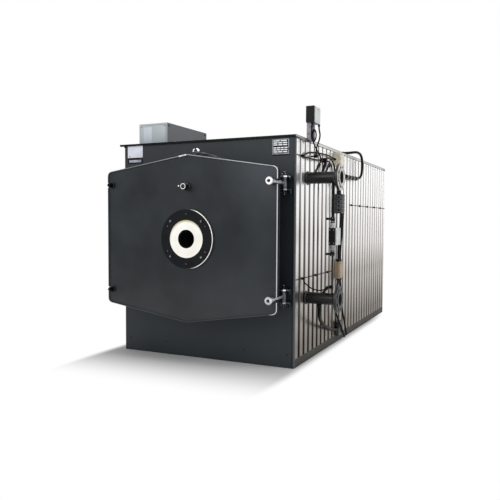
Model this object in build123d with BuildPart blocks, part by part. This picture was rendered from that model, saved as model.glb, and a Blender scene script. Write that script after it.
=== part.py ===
"""Horizontal industrial boiler with a hinged burner door, in millimetres.

The origin is on the floor under the middle of the casing. +Z is up and the
burner door looks along -Y. +X is the side that carries the pipe connections.
"""
from build123d import *
from math import cos, pi, radians, sin, sqrt, tan
import os

os.makedirs("parts", exist_ok=True)

# Casing, sized round the pressure shell
shell_radius = 640
axis_height = 943
side_gap = 115
crown_gap = 117
casing_depth = 2990
panel_sheet = 4
panel_fold = 18
panel_fold_radius = 12
skirt_height = 65
frame_wall = 6
frame_leg = 60
cross_member_width = 90

# Corrugated side sheets
wave_pitch = 104.4
wave_first = 103
wave_depth = 18
wave_crest = 62
wave_floor = 21
cladding_sheet = 1.5

# Roof
roof_sheet = 3
hem_height = 15
hem_depth = 15
hem_overhang = 25
hem_bead_radius = 9
trim_height = 24
trim_leg = 30
trim_sheet = 2

# Pressure shell and furnace
shell_wall = 8
shell_setback = 20
shell_rear_gap = 130
shell_end_wall = 12
ring_lip = 6.5
ring_width = 86.5
ring_front = 40
gas_gap = 87
coil_tube = 38
coil_start = 130
coil_length = 2300
coil_turns = 26
furnace_end_thickness = 60
coil_support_width = 40
coil_support_count = 3
seat_gap = 0.1
saddle_thickness = 12
saddle_width = 900
saddle_inset = 500
saddle_rise = 256
flue_radius = 175
flue_wall = 4
flue_rise = 237
flue_length = 150
flue_flange_radius = 215
flue_flange = 10
flue_bolt_place_radius = 195
flue_bolt_radius = 7
flue_bolt_count = 8

# Burner door
door_front = 245
door_side_gap = 33
door_side_half_height = 510
door_apex_rise = 622
door_corner_radius = 35
door_plate_thickness = 8
door_rim_depth = 35
door_rim_wall = 5
drum_step = 40
drum_wall = 8
drum_flange = 10
door_gap = 6
seal_width = 22
plug_gap = 60
plug_depth = 90
throat_radius = 80
throat_flare_radius = 140
throat_flare_depth = 120
burner_plate_radius = 218.5
burner_plate_thickness = 20
burner_ring_radius = 140
burner_ring_depth = 60
burner_hole_radius = 68
burner_bolt_place_radius = 185
burner_bolt_count = 6
burner_bolt_radius = 6
stud_count = 4
stud_radius = 6
stud_end = 5
stud_nut_radius = 9
stud_nut_height = 8
sight_height = 385
sight_tube_radius = 24.5
sight_tube_bore = 17
sight_tube_length = 65
sight_glass_thickness = 6
eye_offset = 120
eye_ring_radius = 22
eye_bar_radius = 8
eye_collar_radius = 20
eye_collar_height = 32

# Hinge and clamp bolts
bolt_inset = 68
bolt_rise = 408
pin_depth = 50
pin_radius = 10
pin_length = 155
pin_clearance = 0.08
lug_thickness = 10
lug_spacing = 93
lug_inner = 27
lug_outer = 48
lug_reach = 28
lug_tab_drop = 25
lug_tab_depth = 50
barrel_radius = 22
barrel_gap = 0.3
shank_radius = 12
slot_half_height = 15
pad_thickness = 10
pad_radius = 27
nut_seat_radius = 21
nut_ring_radius = 27.5
nut_length = 75
nut_ring_length = 16
nut_taper = 3
nut_cone = 8
nut_chamfer = 4
nut_bore_radius = 12
hinge_nut_radius = 20
hinge_nut_height = 24
hinge_bolt_end = 36
nut_recess = 14
door_swing = 110

# Flow and return pipes
pipe_radius = 44.45
pipe_bore_radius = 41.25
pipe_setback = 259
pipe_end_gap = 60
flow_rise = 463
return_drop = 448
flange_reach = 267
flange_radius = 100
flange_thickness = 20
flange_face_radius = 69
flange_face = 3
flange_hub = 22
flange_hub_radius = 52
flange_bolt_place_radius = 80
flange_bolt_radius = 9
flange_bolt_count = 8
pipe_hole_clearance = 4
pocket_radius = 8
pocket_head_radius = 12
pocket_head_length = 30
pocket_lean = 28
first_pocket_reach = 38
second_pocket_reach = 120
return_pocket_lean = 40
return_pocket_reach = 95
pocket_stem = 45

# Pressure switch line between the two pipes
line_reach = 203
line_radius = 11
thin_line_radius = 6
valve_body_radius = 17
valve_body_length = 32
valve_knob_radius = 9
valve_knob_length = 34
switch_width = 50
switch_depth = 146
switch_height = 128
switch_drop = 41
switch_cover = 22
port_radius = 23
port_taper = 11
port_height = 52

# Boxes
control_width = 280
control_depth = 660
control_height = 190
control_inset = 32
control_setback = 165
bracket_sheet = 3
bracket_height = 122
bracket_width = 60
bracket_setback = 255
stat_width = 66
stat_overlap = 10
stat_depth = 144
stat_height = 122
stat_overhang = 20
stat_cover = 10
junction_reach = 62
junction_setback = 916
junction_depth = 115
junction_rise = 150
junction_height = 114
terminal_reach = 60
terminal_setback = 978
terminal_depth = 100
terminal_drop = 256
terminal_height = 167
lower_box_reach = 45
lower_box_setback = 984
lower_box_depth = 112
lower_box_rise = 84
lower_box_height = 146
box_corner = 6

# Cables, conduits and hoses
lead_diameter = 12
capillary_diameter = 10
bundle_diameter = 24
conduit_diameter = 24
hose_diameter = 27
drop_diameter = 22
wire_diameter = 6
gland_radius = 14
gland_length = 22
hose_foot_diameter = 16
clip_width = 14
clip_height = 18
clip_gap = 0.5
clip_cover = 4
upper_clip_crests = (14, 17, 20, 23, 26)
lower_clip_crests = (4, 7)
upper_wire_height = 1235
upper_wire_start = 1440
lower_wire_height = 650
lower_wire_start = 20
lower_wire_end = 920
top_wire_height = 1560
top_wire_end = 130
inlet_inset = 55
inlet_setback = 1440
inlet_size = 44
inlet_height = 36
splitter_bottom = 1558
splitter_height = 33
splitter_reach = 40
splitter_depth = 36
splitter_setback = 610
top_clip_setback = 122
lower_clip_setback = 158
end_clip_depth = 20
line_sensor_height = 588
line_sensor_size = 24
plug_height = 1588
plug_reach = 795
plug_setback = 335
drain_block_width = 30
drain_block_depth = 100
drain_block_height = 126
drain_block_setback = 1048
drain_block_bottom = 60

# Derived places
casing_width = 2 * (shell_radius + side_gap)
casing_height = axis_height + shell_radius + crown_gap
half_width = casing_width / 2
front = -casing_depth / 2
rear = casing_depth / 2
cladding_top = casing_height - trim_height
cladding_height = cladding_top - skirt_height
pin_y = front - pin_depth
door_face_y = front - door_front
door_back_y = door_face_y + door_plate_thickness
drum_end_y = front - ring_front - door_gap
shell_front = front + shell_setback
shell_rear = rear - shell_rear_gap
ring_outer_radius = shell_radius + ring_lip
ring_inner_radius = ring_outer_radius - ring_width
coil_outer_radius = shell_radius - shell_wall - gas_gap
drum_flange_radius = shell_radius
drum_radius = drum_flange_radius - drum_step
plug_radius = ring_inner_radius - plug_gap
bolt_side = half_width - bolt_inset
door_half_width = half_width - door_side_gap
flue_height = axis_height + flue_rise
flow_height = axis_height + flow_rise
return_height = axis_height - return_drop
pipe_y = front + pipe_setback
flange_x = half_width + flange_reach
line_x = half_width + line_reach
pocket_places = [
    (first_pocket_reach, flow_height, pocket_lean),
    (second_pocket_reach, flow_height, pocket_lean),
    (return_pocket_reach, return_height, return_pocket_lean),
]


def save(body, label):
    """Name a finished piece and write it to its own file."""
    body.label = label
    export_step(body, f"parts/{label}.step")


def facing_front(y):
    """Plane on the furnace axis at depth y, looking at the burner door."""
    return Plane(origin=(0, y, axis_height), x_dir=(1, 0, 0), z_dir=(0, -1, 0))


# Base frame: two channels along the sides, joined by three cross members.
with BuildPart() as base_rails:
    rail_length = casing_depth - panel_sheet - panel_fold
    with BuildSketch(Plane.XZ.offset(-(rear - panel_sheet))):
        with BuildLine():
            Polyline(
                (half_width, 0),
                (half_width, skirt_height),
                (half_width - frame_leg, skirt_height),
                (half_width - frame_leg, skirt_height - frame_wall),
                (half_width - frame_wall, skirt_height - frame_wall),
                (half_width - frame_wall, frame_wall),
                (half_width - frame_leg, frame_wall),
                (half_width - frame_leg, 0),
                close=True,
            )
        make_face()
    extrude(amount=rail_length)
    mirror(about=Plane.YZ)
save(base_rails.part, "base_rails")

cross_member_places = [
    (0, front + saddle_inset),
    (0, 0),
    (0, rear - saddle_inset),
]
with BuildPart() as base_cross_members:
    with BuildSketch():
        with Locations(*cross_member_places):
            Rectangle(casing_width - 2 * frame_leg, cross_member_width)
    extrude(amount=skirt_height)
save(base_cross_members.part, "base_cross_members")

# Saddles: two plates that stand on the cross members and cradle the shell.
with BuildPart() as shell_saddles:
    saddle_top = axis_height - shell_radius + saddle_rise
    for saddle_y in (front + saddle_inset, rear - saddle_inset):
        with BuildSketch(Plane.XZ.offset(-(saddle_y + saddle_thickness / 2))):
            with BuildLine():
                Polyline(
                    (-saddle_width / 2, skirt_height),
                    (saddle_width / 2, skirt_height),
                    (saddle_width / 2, saddle_top),
                    (-saddle_width / 2, saddle_top),
                    close=True,
                )
            make_face()
            with Locations((0, axis_height)):
                Circle(shell_radius, mode=Mode.SUBTRACT)
        extrude(amount=saddle_thickness)
save(shell_saddles.part, "shell_saddles")


# Front and rear sheets of the casing. The front sheet is folded back at both upright edges.
panel_ring_gap = 0.5
panel_height = casing_height - roof_sheet
with BuildPart() as front_panel:
    with BuildSketch() as panel_plan:
        with BuildLine():
            Polyline(
                (-half_width, front + panel_fold),
                (-half_width, front),
                (half_width, front),
                (half_width, front + panel_fold),
                close=True,
            )
        make_face()
        fillet(panel_plan.vertices().group_by(Axis.Y)[0], radius=panel_fold_radius)
        with Locations((0, front + panel_sheet + panel_fold)):
            Rectangle(casing_width - 2 * panel_sheet, 2 * panel_fold, mode=Mode.SUBTRACT)
    extrude(amount=panel_height)
    with BuildSketch(facing_front(front + panel_sheet)):
        Circle(ring_outer_radius + panel_ring_gap)
    extrude(amount=panel_sheet, mode=Mode.SUBTRACT)
save(front_panel.part, "front_panel")

with BuildPart() as rear_panel:
    with BuildSketch(Plane.XZ.offset(-rear)):
        with Locations((0, panel_height / 2)):
            Rectangle(casing_width, panel_height)
        with Locations((0, flue_height)):
            Circle(flue_radius + panel_ring_gap, mode=Mode.SUBTRACT)
    extrude(amount=panel_sheet)
save(rear_panel.part, "rear_panel")

def wave_line(face_x, depth):
    """Corners of one corrugated sheet surface, from front to rear."""
    valley = wave_floor / 2
    slope = (wave_pitch - wave_crest - wave_floor) / 2
    wave_count = int((casing_depth - wave_first) / wave_pitch) + 1
    corners = [(face_x, front + panel_fold)]
    for index in range(wave_count):
        middle = front + wave_first + index * wave_pitch
        corners.append((face_x, middle - valley - slope))
        corners.append((face_x - depth, middle - valley))
        corners.append((face_x - depth, middle + valley))
        corners.append((face_x, middle + valley + slope))
    corners.append((face_x, rear - panel_sheet))
    return corners


def corrugated_profile():
    """Section of the right-hand corrugated sheet."""
    outside = wave_line(half_width, wave_depth)
    inside = wave_line(half_width - cladding_sheet, wave_depth)
    return outside + inside[::-1]


with BuildPart() as cladding_right:
    with BuildSketch(Plane.XY.offset(skirt_height)):
        with BuildLine():
            Polyline(*corrugated_profile(), close=True)
        make_face()
    extrude(amount=cladding_height)
    for pipe_height in (flow_height, return_height):
        with BuildSketch(Plane.YZ.offset(half_width - 2 * wave_depth)):
            with Locations((pipe_y, pipe_height)):
                Circle(pipe_radius + pipe_hole_clearance)
        extrude(amount=3 * wave_depth, mode=Mode.SUBTRACT)
save(cladding_right.part, "cladding_right")

with BuildPart() as cladding_left:
    with BuildSketch(Plane.XY.offset(skirt_height)):
        with BuildLine():
            Polyline(*corrugated_profile(), close=True)
        make_face()
    extrude(amount=cladding_height)
    mirror(about=Plane.YZ, mode=Mode.REPLACE)
save(cladding_left.part, "cladding_left")

# Roof sheet with a thick folded hem along its front edge.
with BuildPart() as roof_panel:
    with BuildSketch(Plane.XY.offset(casing_height - roof_sheet)):
        Rectangle(casing_width, casing_depth)
    extrude(amount=roof_sheet)
    hem_width = casing_width + hem_overhang
    with BuildSketch(Plane.XY.offset(casing_height - hem_height)):
        with Locations((-hem_overhang / 2, front - hem_depth / 2)):
            Rectangle(hem_width, hem_depth)
    extrude(amount=hem_height)
    with BuildSketch(Plane.XZ.offset(-front)):
        with Locations((-half_width - hem_overhang, casing_height - hem_height / 2)):
            Circle(hem_bead_radius)
    extrude(amount=hem_depth)
save(roof_panel.part, "roof_panel")

with BuildPart() as roof_trims:
    with BuildSketch(Plane.XZ.offset(-rear)):
        with BuildLine():
            Polyline(
                (half_width, cladding_top),
                (half_width + trim_sheet, cladding_top),
                (half_width + trim_sheet, casing_height + trim_sheet),
                (half_width - trim_leg, casing_height + trim_sheet),
                (half_width - trim_leg, casing_height),
                (half_width, casing_height),
                close=True,
            )
        make_face()
    extrude(amount=casing_depth)
    mirror(about=Plane.YZ)
save(roof_trims.part, "roof_trims")

# Front ring: the machined seat that the door closes against.
with BuildPart() as front_ring:
    with BuildSketch(facing_front(shell_front)):
        Circle(ring_outer_radius)
        Circle(ring_inner_radius, mode=Mode.SUBTRACT)
    extrude(amount=ring_front + shell_setback)
save(front_ring.part, "front_ring")

# Outer shell with a flat welded rear end.
with BuildPart() as outer_shell:
    with BuildSketch(facing_front(shell_rear)):
        Circle(shell_radius)
    extrude(amount=shell_rear - shell_front)
    with BuildSketch(facing_front(shell_rear - shell_end_wall)):
        Circle(shell_radius - shell_wall)
    extrude(amount=shell_rear - shell_end_wall - shell_front, mode=Mode.SUBTRACT)
    with BuildSketch(Plane.XZ.offset(-shell_rear)):
        with Locations((0, flue_height)):
            Circle(flue_radius - flue_wall)
    extrude(amount=2 * shell_end_wall, both=True, mode=Mode.SUBTRACT)
save(outer_shell.part, "outer_shell")

# Furnace coil: one tube wound turn against turn, drawn with a waved surface.
coil_front = front + coil_start
coil_mean_radius = coil_outer_radius - coil_tube / 2
coil_step = coil_length / coil_turns


def coil_wave(radius, swell):
    """Waved line along the coil, one rounded-off tube after another."""
    corners = []
    for turn in range(coil_turns):
        turn_start = coil_front + turn * coil_step
        corners.append((radius, turn_start))
        corners.append((radius + swell, turn_start + coil_step / 2))
    corners.append((radius, coil_front + coil_length))
    return corners


with BuildPart() as furnace_coil:
    coil_groove = coil_tube / 4
    with BuildSketch(Plane.XY.offset(axis_height)):
        with BuildLine():
            inner_line = coil_wave(coil_outer_radius - coil_tube + coil_groove, -coil_groove)
            outer_line = [
                (coil_outer_radius, coil_front + coil_length),
                (coil_outer_radius, coil_front),
            ]
            Polyline(*inner_line, *outer_line, close=True)
        make_face()
    revolve(axis=Axis((0, 0, axis_height), (0, 1, 0)))
save(furnace_coil.part, "furnace_coil")

with BuildPart() as furnace_end:
    with BuildSketch(facing_front(coil_front + coil_length + furnace_end_thickness)):
        Circle(coil_outer_radius)
    extrude(amount=furnace_end_thickness)
save(furnace_end.part, "furnace_end")

# Three bars along the shell keep the coil off its wall.
with BuildPart() as coil_supports:
    shell_inside = shell_radius - shell_wall
    with BuildSketch(facing_front(coil_front + coil_length)):
        with PolarLocations(0, coil_support_count, start_angle=-90):
            with Locations(((coil_outer_radius + shell_inside) / 2, 0)):
                Rectangle(shell_inside - coil_outer_radius + coil_support_width, coil_support_width)
        Circle(coil_outer_radius + seat_gap, mode=Mode.SUBTRACT)
        with BuildSketch(facing_front(coil_front + coil_length), mode=Mode.INTERSECT):
            Circle(shell_inside - seat_gap)
    extrude(amount=coil_length - coil_support_width)
save(coil_supports.part, "coil_supports")

# Flue outlet at the rear, a short round spigot with a bolted flange.
with BuildPart() as flue_outlet:
    flue_start = shell_rear - shell_end_wall
    with BuildSketch(Plane.XZ.offset(-(rear + flue_length))):
        with Locations((0, flue_height)):
            Circle(flue_flange_radius)
    extrude(amount=flue_flange)
    with BuildSketch(Plane.XZ.offset(-(rear + flue_length))):
        with Locations((0, flue_height)):
            Circle(flue_radius)
    extrude(amount=rear + flue_length - shell_rear)
    with BuildSketch(Plane.XZ.offset(-(rear + flue_length))):
        with Locations((0, flue_height)):
            Circle(flue_radius - flue_wall)
    extrude(amount=rear + flue_length - shell_rear, mode=Mode.SUBTRACT)
    with BuildSketch(Plane.XZ.offset(-(rear + flue_length))):
        with Locations((0, flue_height)):
            with PolarLocations(flue_bolt_place_radius, flue_bolt_count):
                Circle(flue_bolt_radius)
    extrude(amount=flue_flange, mode=Mode.SUBTRACT)
save(flue_outlet.part, "flue_outlet")


def bracket_heights():
    """Heights of the two bolt sets on each side."""
    return (axis_height - bolt_rise, axis_height + bolt_rise)


def lug_levels(bolt_height):
    """Middle heights of the two lugs of one bolt set."""
    return (bolt_height - lug_spacing / 2, bolt_height + lug_spacing / 2)


# Lugs on the right, with the pins that the clamp bolts swing on.
with BuildPart() as clamp_brackets:
    for bolt_height in bracket_heights():
        for lug_height in lug_levels(bolt_height):
            with BuildSketch(Plane.XY.offset(lug_height - lug_thickness / 2)):
                with Locations((bolt_side, pin_y)):
                    Circle(lug_reach)
                with Locations((bolt_side + (lug_outer - lug_inner) / 2, front - pin_depth / 2)):
                    Rectangle(lug_inner + lug_outer, pin_depth)
            extrude(amount=lug_thickness)
            tab_x = bolt_side + lug_outer - lug_thickness / 2
            tab_top = lug_height - lug_thickness / 2
            with BuildSketch(Plane.XY.offset(tab_top)):
                with Locations((tab_x, front - lug_tab_depth / 2)):
                    Rectangle(lug_thickness, lug_tab_depth)
            extrude(amount=-lug_tab_drop)
        with BuildSketch(Plane.XY.offset(bolt_height - pin_length / 2)):
            with Locations((bolt_side, pin_y)):
                Circle(pin_radius)
        extrude(amount=pin_length)
save(clamp_brackets.part, "clamp_brackets")

with BuildPart() as hinge_brackets:
    add(clamp_brackets.part)
    mirror(about=Plane.YZ, mode=Mode.REPLACE)
save(hinge_brackets.part, "hinge_brackets")


def swing_bolt(bolt_height, side):
    """Eye bolt that turns on one pin and points at the door."""
    barrel_height = lug_spacing - lug_thickness - 2 * barrel_gap
    nut_seat_y = door_face_y - pad_thickness
    with BuildPart() as bolt:
        with BuildSketch(Plane.XY.offset(bolt_height - barrel_height / 2)):
            with Locations((side * bolt_side, pin_y)):
                Circle(barrel_radius)
        extrude(amount=barrel_height)
        shank_plane = Plane(
            origin=(side * bolt_side, pin_y, bolt_height), x_dir=(1, 0, 0), z_dir=(0, -1, 0)
        )
        with BuildSketch(shank_plane):
            Circle(shank_radius)
        extrude(amount=pin_y - nut_seat_y)
        with BuildSketch(Plane.XY.offset(bolt_height - barrel_height / 2)):
            with Locations((side * bolt_side, pin_y)):
                Circle(pin_radius + pin_clearance)
        extrude(amount=barrel_height, mode=Mode.SUBTRACT)
    return bolt.part


def clamp_nut(bolt_height, side):
    """Tapered round nut with a wide ring and a hollow in its front end."""
    nut_seat_y = door_face_y - pad_thickness
    nut_end_y = nut_seat_y - nut_length
    with BuildPart() as nut:
        with BuildSketch(Plane.XY.offset(bolt_height)):
            with BuildLine():
                Polyline(
                    (0, nut_seat_y),
                    (nut_seat_radius, nut_seat_y),
                    (nut_seat_radius - nut_taper, nut_end_y + nut_ring_length + nut_cone),
                    (nut_ring_radius - nut_chamfer, nut_end_y + nut_ring_length),
                    (nut_ring_radius, nut_end_y + nut_ring_length - nut_chamfer),
                    (nut_ring_radius, nut_end_y + nut_chamfer),
                    (nut_ring_radius - nut_chamfer, nut_end_y),
                    (nut_bore_radius, nut_end_y),
                    (nut_bore_radius, nut_end_y + nut_recess),
                    (0, nut_end_y + nut_recess),
                    close=True,
                )
            make_face()
        revolve(axis=Axis((0, 0, bolt_height), (0, 1, 0)))
    return nut.part.moved(Location((side * bolt_side, 0, 0)))


lower_bolt_height, upper_bolt_height = bracket_heights()
save(swing_bolt(lower_bolt_height, 1), "clamp_bolt_lower")
save(swing_bolt(upper_bolt_height, 1), "clamp_bolt_upper")
save(clamp_nut(lower_bolt_height, 1), "clamp_nut_lower")
save(clamp_nut(upper_bolt_height, 1), "clamp_nut_upper")

with BuildPart() as hinge_bolts:
    add(swing_bolt(lower_bolt_height, -1))
    add(swing_bolt(upper_bolt_height, -1))
save(hinge_bolts.part, "hinge_bolts")

# On the left a plain nut and a short bolt end do the work of the tapered nuts.
with BuildPart() as hinge_nuts:
    for bolt_height in bracket_heights():
        nut_seat_y = door_face_y - pad_thickness
        with BuildSketch(Plane.XZ.offset(-nut_seat_y)):
            with Locations((-bolt_side, bolt_height)):
                RegularPolygon(hinge_nut_radius, 6)
        extrude(amount=hinge_nut_height)
        with BuildSketch(Plane.XZ.offset(-nut_seat_y)):
            with Locations((-bolt_side, bolt_height)):
                Circle(shank_radius)
        extrude(amount=hinge_bolt_end)
save(hinge_nuts.part, "hinge_nuts")


def door_outline(inset):
    """Six-sided door outline with rounded corners, drawn in by inset."""
    side = door_half_width - inset
    slope_run = sqrt(door_half_width**2 + (door_apex_rise - door_side_half_height) ** 2)
    apex = door_apex_rise - inset * slope_run / door_half_width
    shoulder = apex - (door_apex_rise - door_side_half_height) * side / door_half_width
    with BuildSketch() as outline:
        with BuildLine():
            Polyline(
                (side, -shoulder),
                (side, shoulder),
                (0, apex),
                (-side, shoulder),
                (-side, -shoulder),
                (0, -apex),
                close=True,
            )
        make_face()
        fillet(outline.vertices(), radius=door_corner_radius - inset)
    return outline.sketch


# Door plate: a folded six-sided tray with four slots and their bearing pads.
with BuildPart() as door_plate:
    with BuildSketch(facing_front(door_face_y + door_rim_depth)):
        add(door_outline(0))
    extrude(amount=door_rim_depth)
    with BuildSketch(facing_front(door_face_y + door_rim_depth)):
        add(door_outline(door_rim_wall))
    extrude(amount=door_rim_depth - door_plate_thickness, mode=Mode.SUBTRACT)
    slot_length = door_half_width - bolt_side + door_corner_radius
    with BuildSketch(facing_front(door_face_y)):
        for side in (-1, 1):
            for rise in (-bolt_rise, bolt_rise):
                with Locations((side * bolt_side, rise)):
                    Circle(pad_radius)
                with Locations((side * (bolt_side + pad_radius), rise)):
                    Rectangle(2 * pad_radius, 2 * pad_radius, mode=Mode.SUBTRACT)
    extrude(amount=pad_thickness)
    with BuildSketch(facing_front(door_face_y + door_rim_depth)):
        for side in (-1, 1):
            for rise in (-bolt_rise, bolt_rise):
                with Locations((side * bolt_side, rise)):
                    Circle(slot_half_height)
                with Locations((side * (bolt_side + slot_length / 2), rise)):
                    Rectangle(slot_length, 2 * slot_half_height)
    extrude(amount=door_rim_depth + pad_thickness, mode=Mode.SUBTRACT)
    with BuildSketch(facing_front(door_back_y)):
        Circle(burner_ring_radius)
    extrude(amount=door_plate_thickness, mode=Mode.SUBTRACT)
save(door_plate.part, "door_plate")

# Drum behind the plate, with the flange that presses on the front ring.
with BuildPart() as door_drum:
    with BuildSketch(facing_front(drum_end_y)):
        Circle(drum_flange_radius)
    extrude(amount=drum_flange)
    with BuildSketch(facing_front(drum_end_y)):
        Circle(drum_radius)
    extrude(amount=drum_end_y - door_back_y)
    with BuildSketch(facing_front(drum_end_y)):
        Circle(drum_radius - drum_wall)
    extrude(amount=drum_end_y - door_back_y, mode=Mode.SUBTRACT)
save(door_drum.part, "door_drum")

# Refractory block inside the drum, with the burner throat through it.
with BuildPart() as door_lining:
    plug_end_y = front - ring_front + plug_depth
    with BuildSketch(facing_front(drum_end_y)):
        Circle(drum_radius - drum_wall)
    extrude(amount=drum_end_y - door_back_y)
    with BuildSketch(facing_front(plug_end_y)):
        Circle(plug_radius)
    extrude(amount=plug_end_y - drum_end_y)
    with BuildSketch(facing_front(plug_end_y)):
        Circle(throat_radius)
    extrude(amount=plug_end_y - door_back_y, mode=Mode.SUBTRACT)
    with BuildSketch(facing_front(door_face_y + burner_ring_depth)):
        Circle(burner_ring_radius)
    extrude(amount=burner_ring_depth - door_plate_thickness, mode=Mode.SUBTRACT)
    with BuildSketch(facing_front(plug_end_y)):
        Circle(throat_flare_radius)
    with BuildSketch(facing_front(plug_end_y - throat_flare_depth)):
        Circle(throat_radius)
    loft(mode=Mode.SUBTRACT)
save(door_lining.part, "door_lining")

# Rope seal in front of the ring.
with BuildPart() as door_seal:
    seal_radius = (ring_outer_radius + drum_radius) / 2
    with BuildSketch(facing_front(front - ring_front - barrel_gap)):
        Circle(seal_radius + seal_width / 2)
        Circle(seal_radius - seal_width / 2, mode=Mode.SUBTRACT)
    extrude(amount=door_gap - barrel_gap)
save(door_seal.part, "door_seal")

# Burner plate, ceramic ring and studs.
with BuildPart() as burner_plate:
    with BuildSketch(facing_front(door_face_y)):
        Circle(burner_plate_radius)
        Circle(burner_ring_radius, mode=Mode.SUBTRACT)
    extrude(amount=burner_plate_thickness)
    with BuildSketch(facing_front(door_face_y)):
        with PolarLocations(burner_bolt_place_radius, burner_bolt_count, start_angle=90):
            Circle(burner_bolt_radius)
    extrude(amount=burner_plate_thickness, mode=Mode.SUBTRACT)
save(burner_plate.part, "burner_plate")

with BuildPart() as burner_studs:
    stud_plane = facing_front(door_face_y - burner_plate_thickness)
    with BuildSketch(stud_plane):
        with PolarLocations(burner_bolt_place_radius, stud_count, start_angle=45):
            RegularPolygon(stud_nut_radius, 6)
    extrude(amount=stud_nut_height)
    with BuildSketch(stud_plane.offset(stud_nut_height)):
        with PolarLocations(burner_bolt_place_radius, stud_count, start_angle=45):
            Circle(stud_radius)
    extrude(amount=stud_end)
save(burner_studs.part, "burner_studs")

with BuildPart() as burner_ring:
    with BuildSketch(facing_front(door_face_y + burner_ring_depth)):
        Circle(burner_ring_radius)
        Circle(burner_hole_radius, mode=Mode.SUBTRACT)
    extrude(amount=burner_ring_depth + burner_plate_thickness)
save(burner_ring.part, "burner_ring")

# Sight tube with its dark glass.
sight_axis = Plane(
    origin=(0, door_face_y, axis_height + sight_height), x_dir=(1, 0, 0), z_dir=(0, -1, 0)
)
with BuildPart() as sight_tube:
    with BuildSketch(sight_axis):
        Circle(sight_tube_radius)
    extrude(amount=sight_tube_length)
    with BuildSketch(sight_axis):
        Circle(sight_tube_bore)
    extrude(amount=sight_tube_length, mode=Mode.SUBTRACT)
save(sight_tube.part, "sight_tube")

with BuildPart() as sight_glass:
    with BuildSketch(sight_axis.offset(sight_tube_length - 2 * sight_glass_thickness)):
        Circle(sight_tube_bore)
    extrude(amount=sight_glass_thickness)
save(sight_glass.part, "sight_glass")

# Lifting eye on top of the drum, over the middle of the door's weight.
with BuildPart() as lifting_eye:
    eye_y = front - eye_offset
    drum_top = axis_height + drum_radius
    with BuildSketch(Plane(origin=(0, eye_y, drum_top), x_dir=(1, 0, 0), z_dir=(0, 0, 1))):
        Circle(eye_collar_radius)
    extrude(amount=eye_collar_height)
    ring_middle = drum_top + eye_collar_height + eye_ring_radius
    with BuildSketch(Plane.XY.offset(ring_middle)):
        with Locations((eye_ring_radius, eye_y)):
            Circle(eye_bar_radius)
    revolve(axis=Axis((0, eye_y, ring_middle), (0, 1, 0)))
save(lifting_eye.part, "lifting_eye")


def side_pipe(pipe_height):
    """Pipe from the shell out through the right cladding."""
    with BuildPart() as pipe:
        pipe_rise = abs(pipe_height - axis_height) + pipe_radius
        pipe_start = sqrt(shell_radius**2 - pipe_rise**2) - pipe_end_gap
        pipe_end = flange_x - flange_thickness - flange_face - flange_hub
        with BuildSketch(Plane.YZ.offset(pipe_start)):
            with Locations((pipe_y, pipe_height)):
                Circle(pipe_radius)
                Circle(pipe_bore_radius, mode=Mode.SUBTRACT)
        extrude(amount=pipe_end - pipe_start)
        with BuildSketch(facing_front(rear)):
            Circle(shell_radius)
        extrude(amount=casing_depth, mode=Mode.SUBTRACT)
    return pipe.part


def side_flange(pipe_height):
    """Weld-neck flange with a raised face."""
    with BuildPart() as flange:
        hub_start = flange_x - flange_face - flange_thickness - flange_hub
        with BuildSketch(Plane.XY.offset(pipe_height)):
            with BuildLine():
                Polyline(
                    (hub_start, pipe_y + pipe_bore_radius),
                    (hub_start, pipe_y + pipe_radius),
                    (hub_start + flange_hub, pipe_y + flange_hub_radius),
                    (hub_start + flange_hub, pipe_y + flange_radius),
                    (flange_x - flange_face, pipe_y + flange_radius),
                    (flange_x - flange_face, pipe_y + flange_face_radius),
                    (flange_x, pipe_y + flange_face_radius),
                    (flange_x, pipe_y + pipe_bore_radius),
                    close=True,
                )
            make_face()
        revolve(axis=Axis((0, pipe_y, pipe_height), (1, 0, 0)))
        with BuildSketch(Plane.YZ.offset(flange_x)):
            with Locations((pipe_y, pipe_height)):
                with PolarLocations(
                    flange_bolt_place_radius, flange_bolt_count, start_angle=180 / flange_bolt_count
                ):
                    Circle(flange_bolt_radius)
        extrude(amount=-2 * flange_thickness, mode=Mode.SUBTRACT)
    return flange.part


save(side_pipe(flow_height), "flow_pipe")
save(side_pipe(return_height), "return_pipe")
save(side_flange(flow_height), "flow_flange")
save(side_flange(return_height), "return_flange")

# Sensor pockets on the pipes, leaning outwards, each with a black head.
with BuildPart() as sensor_pockets:
    for reach, pipe_height, lean in pocket_places:
        pocket_plane = Plane(
            origin=(half_width + reach, pipe_y, pipe_height),
            x_dir=(0, 1, 0),
            z_dir=(sin(radians(lean)), 0, cos(radians(lean))),
        )
        with BuildSketch(pocket_plane):
            Circle(pocket_radius)
        extrude(amount=pipe_radius + pocket_stem)
        with BuildSketch(pocket_plane.offset(pipe_radius + pocket_stem)):
            Circle(pocket_head_radius)
        extrude(amount=pocket_head_length)
    for pipe_height in (flow_height, return_height):
        with BuildSketch(Plane.YZ.offset(half_width)):
            with Locations((pipe_y, pipe_height)):
                Circle(pipe_radius)
        extrude(amount=flange_reach, mode=Mode.SUBTRACT)
save(sensor_pockets.part, "sensor_pockets")


def upright(radius, bottom, top):
    """Round bar on the axis of the pressure switch line."""
    with BuildPart() as bar:
        with BuildSketch(Plane(origin=(line_x, pipe_y, bottom), x_dir=(1, 0, 0), z_dir=(0, 0, 1))):
            Circle(radius)
        extrude(amount=top - bottom)
    return bar.part


switch_bottom = axis_height - switch_drop
switch_top = switch_bottom + switch_height
valve_half = valve_body_length / 2
upper_valve_height = switch_top + port_height + valve_half
lower_valve_height = switch_bottom - port_height - valve_half

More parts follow.
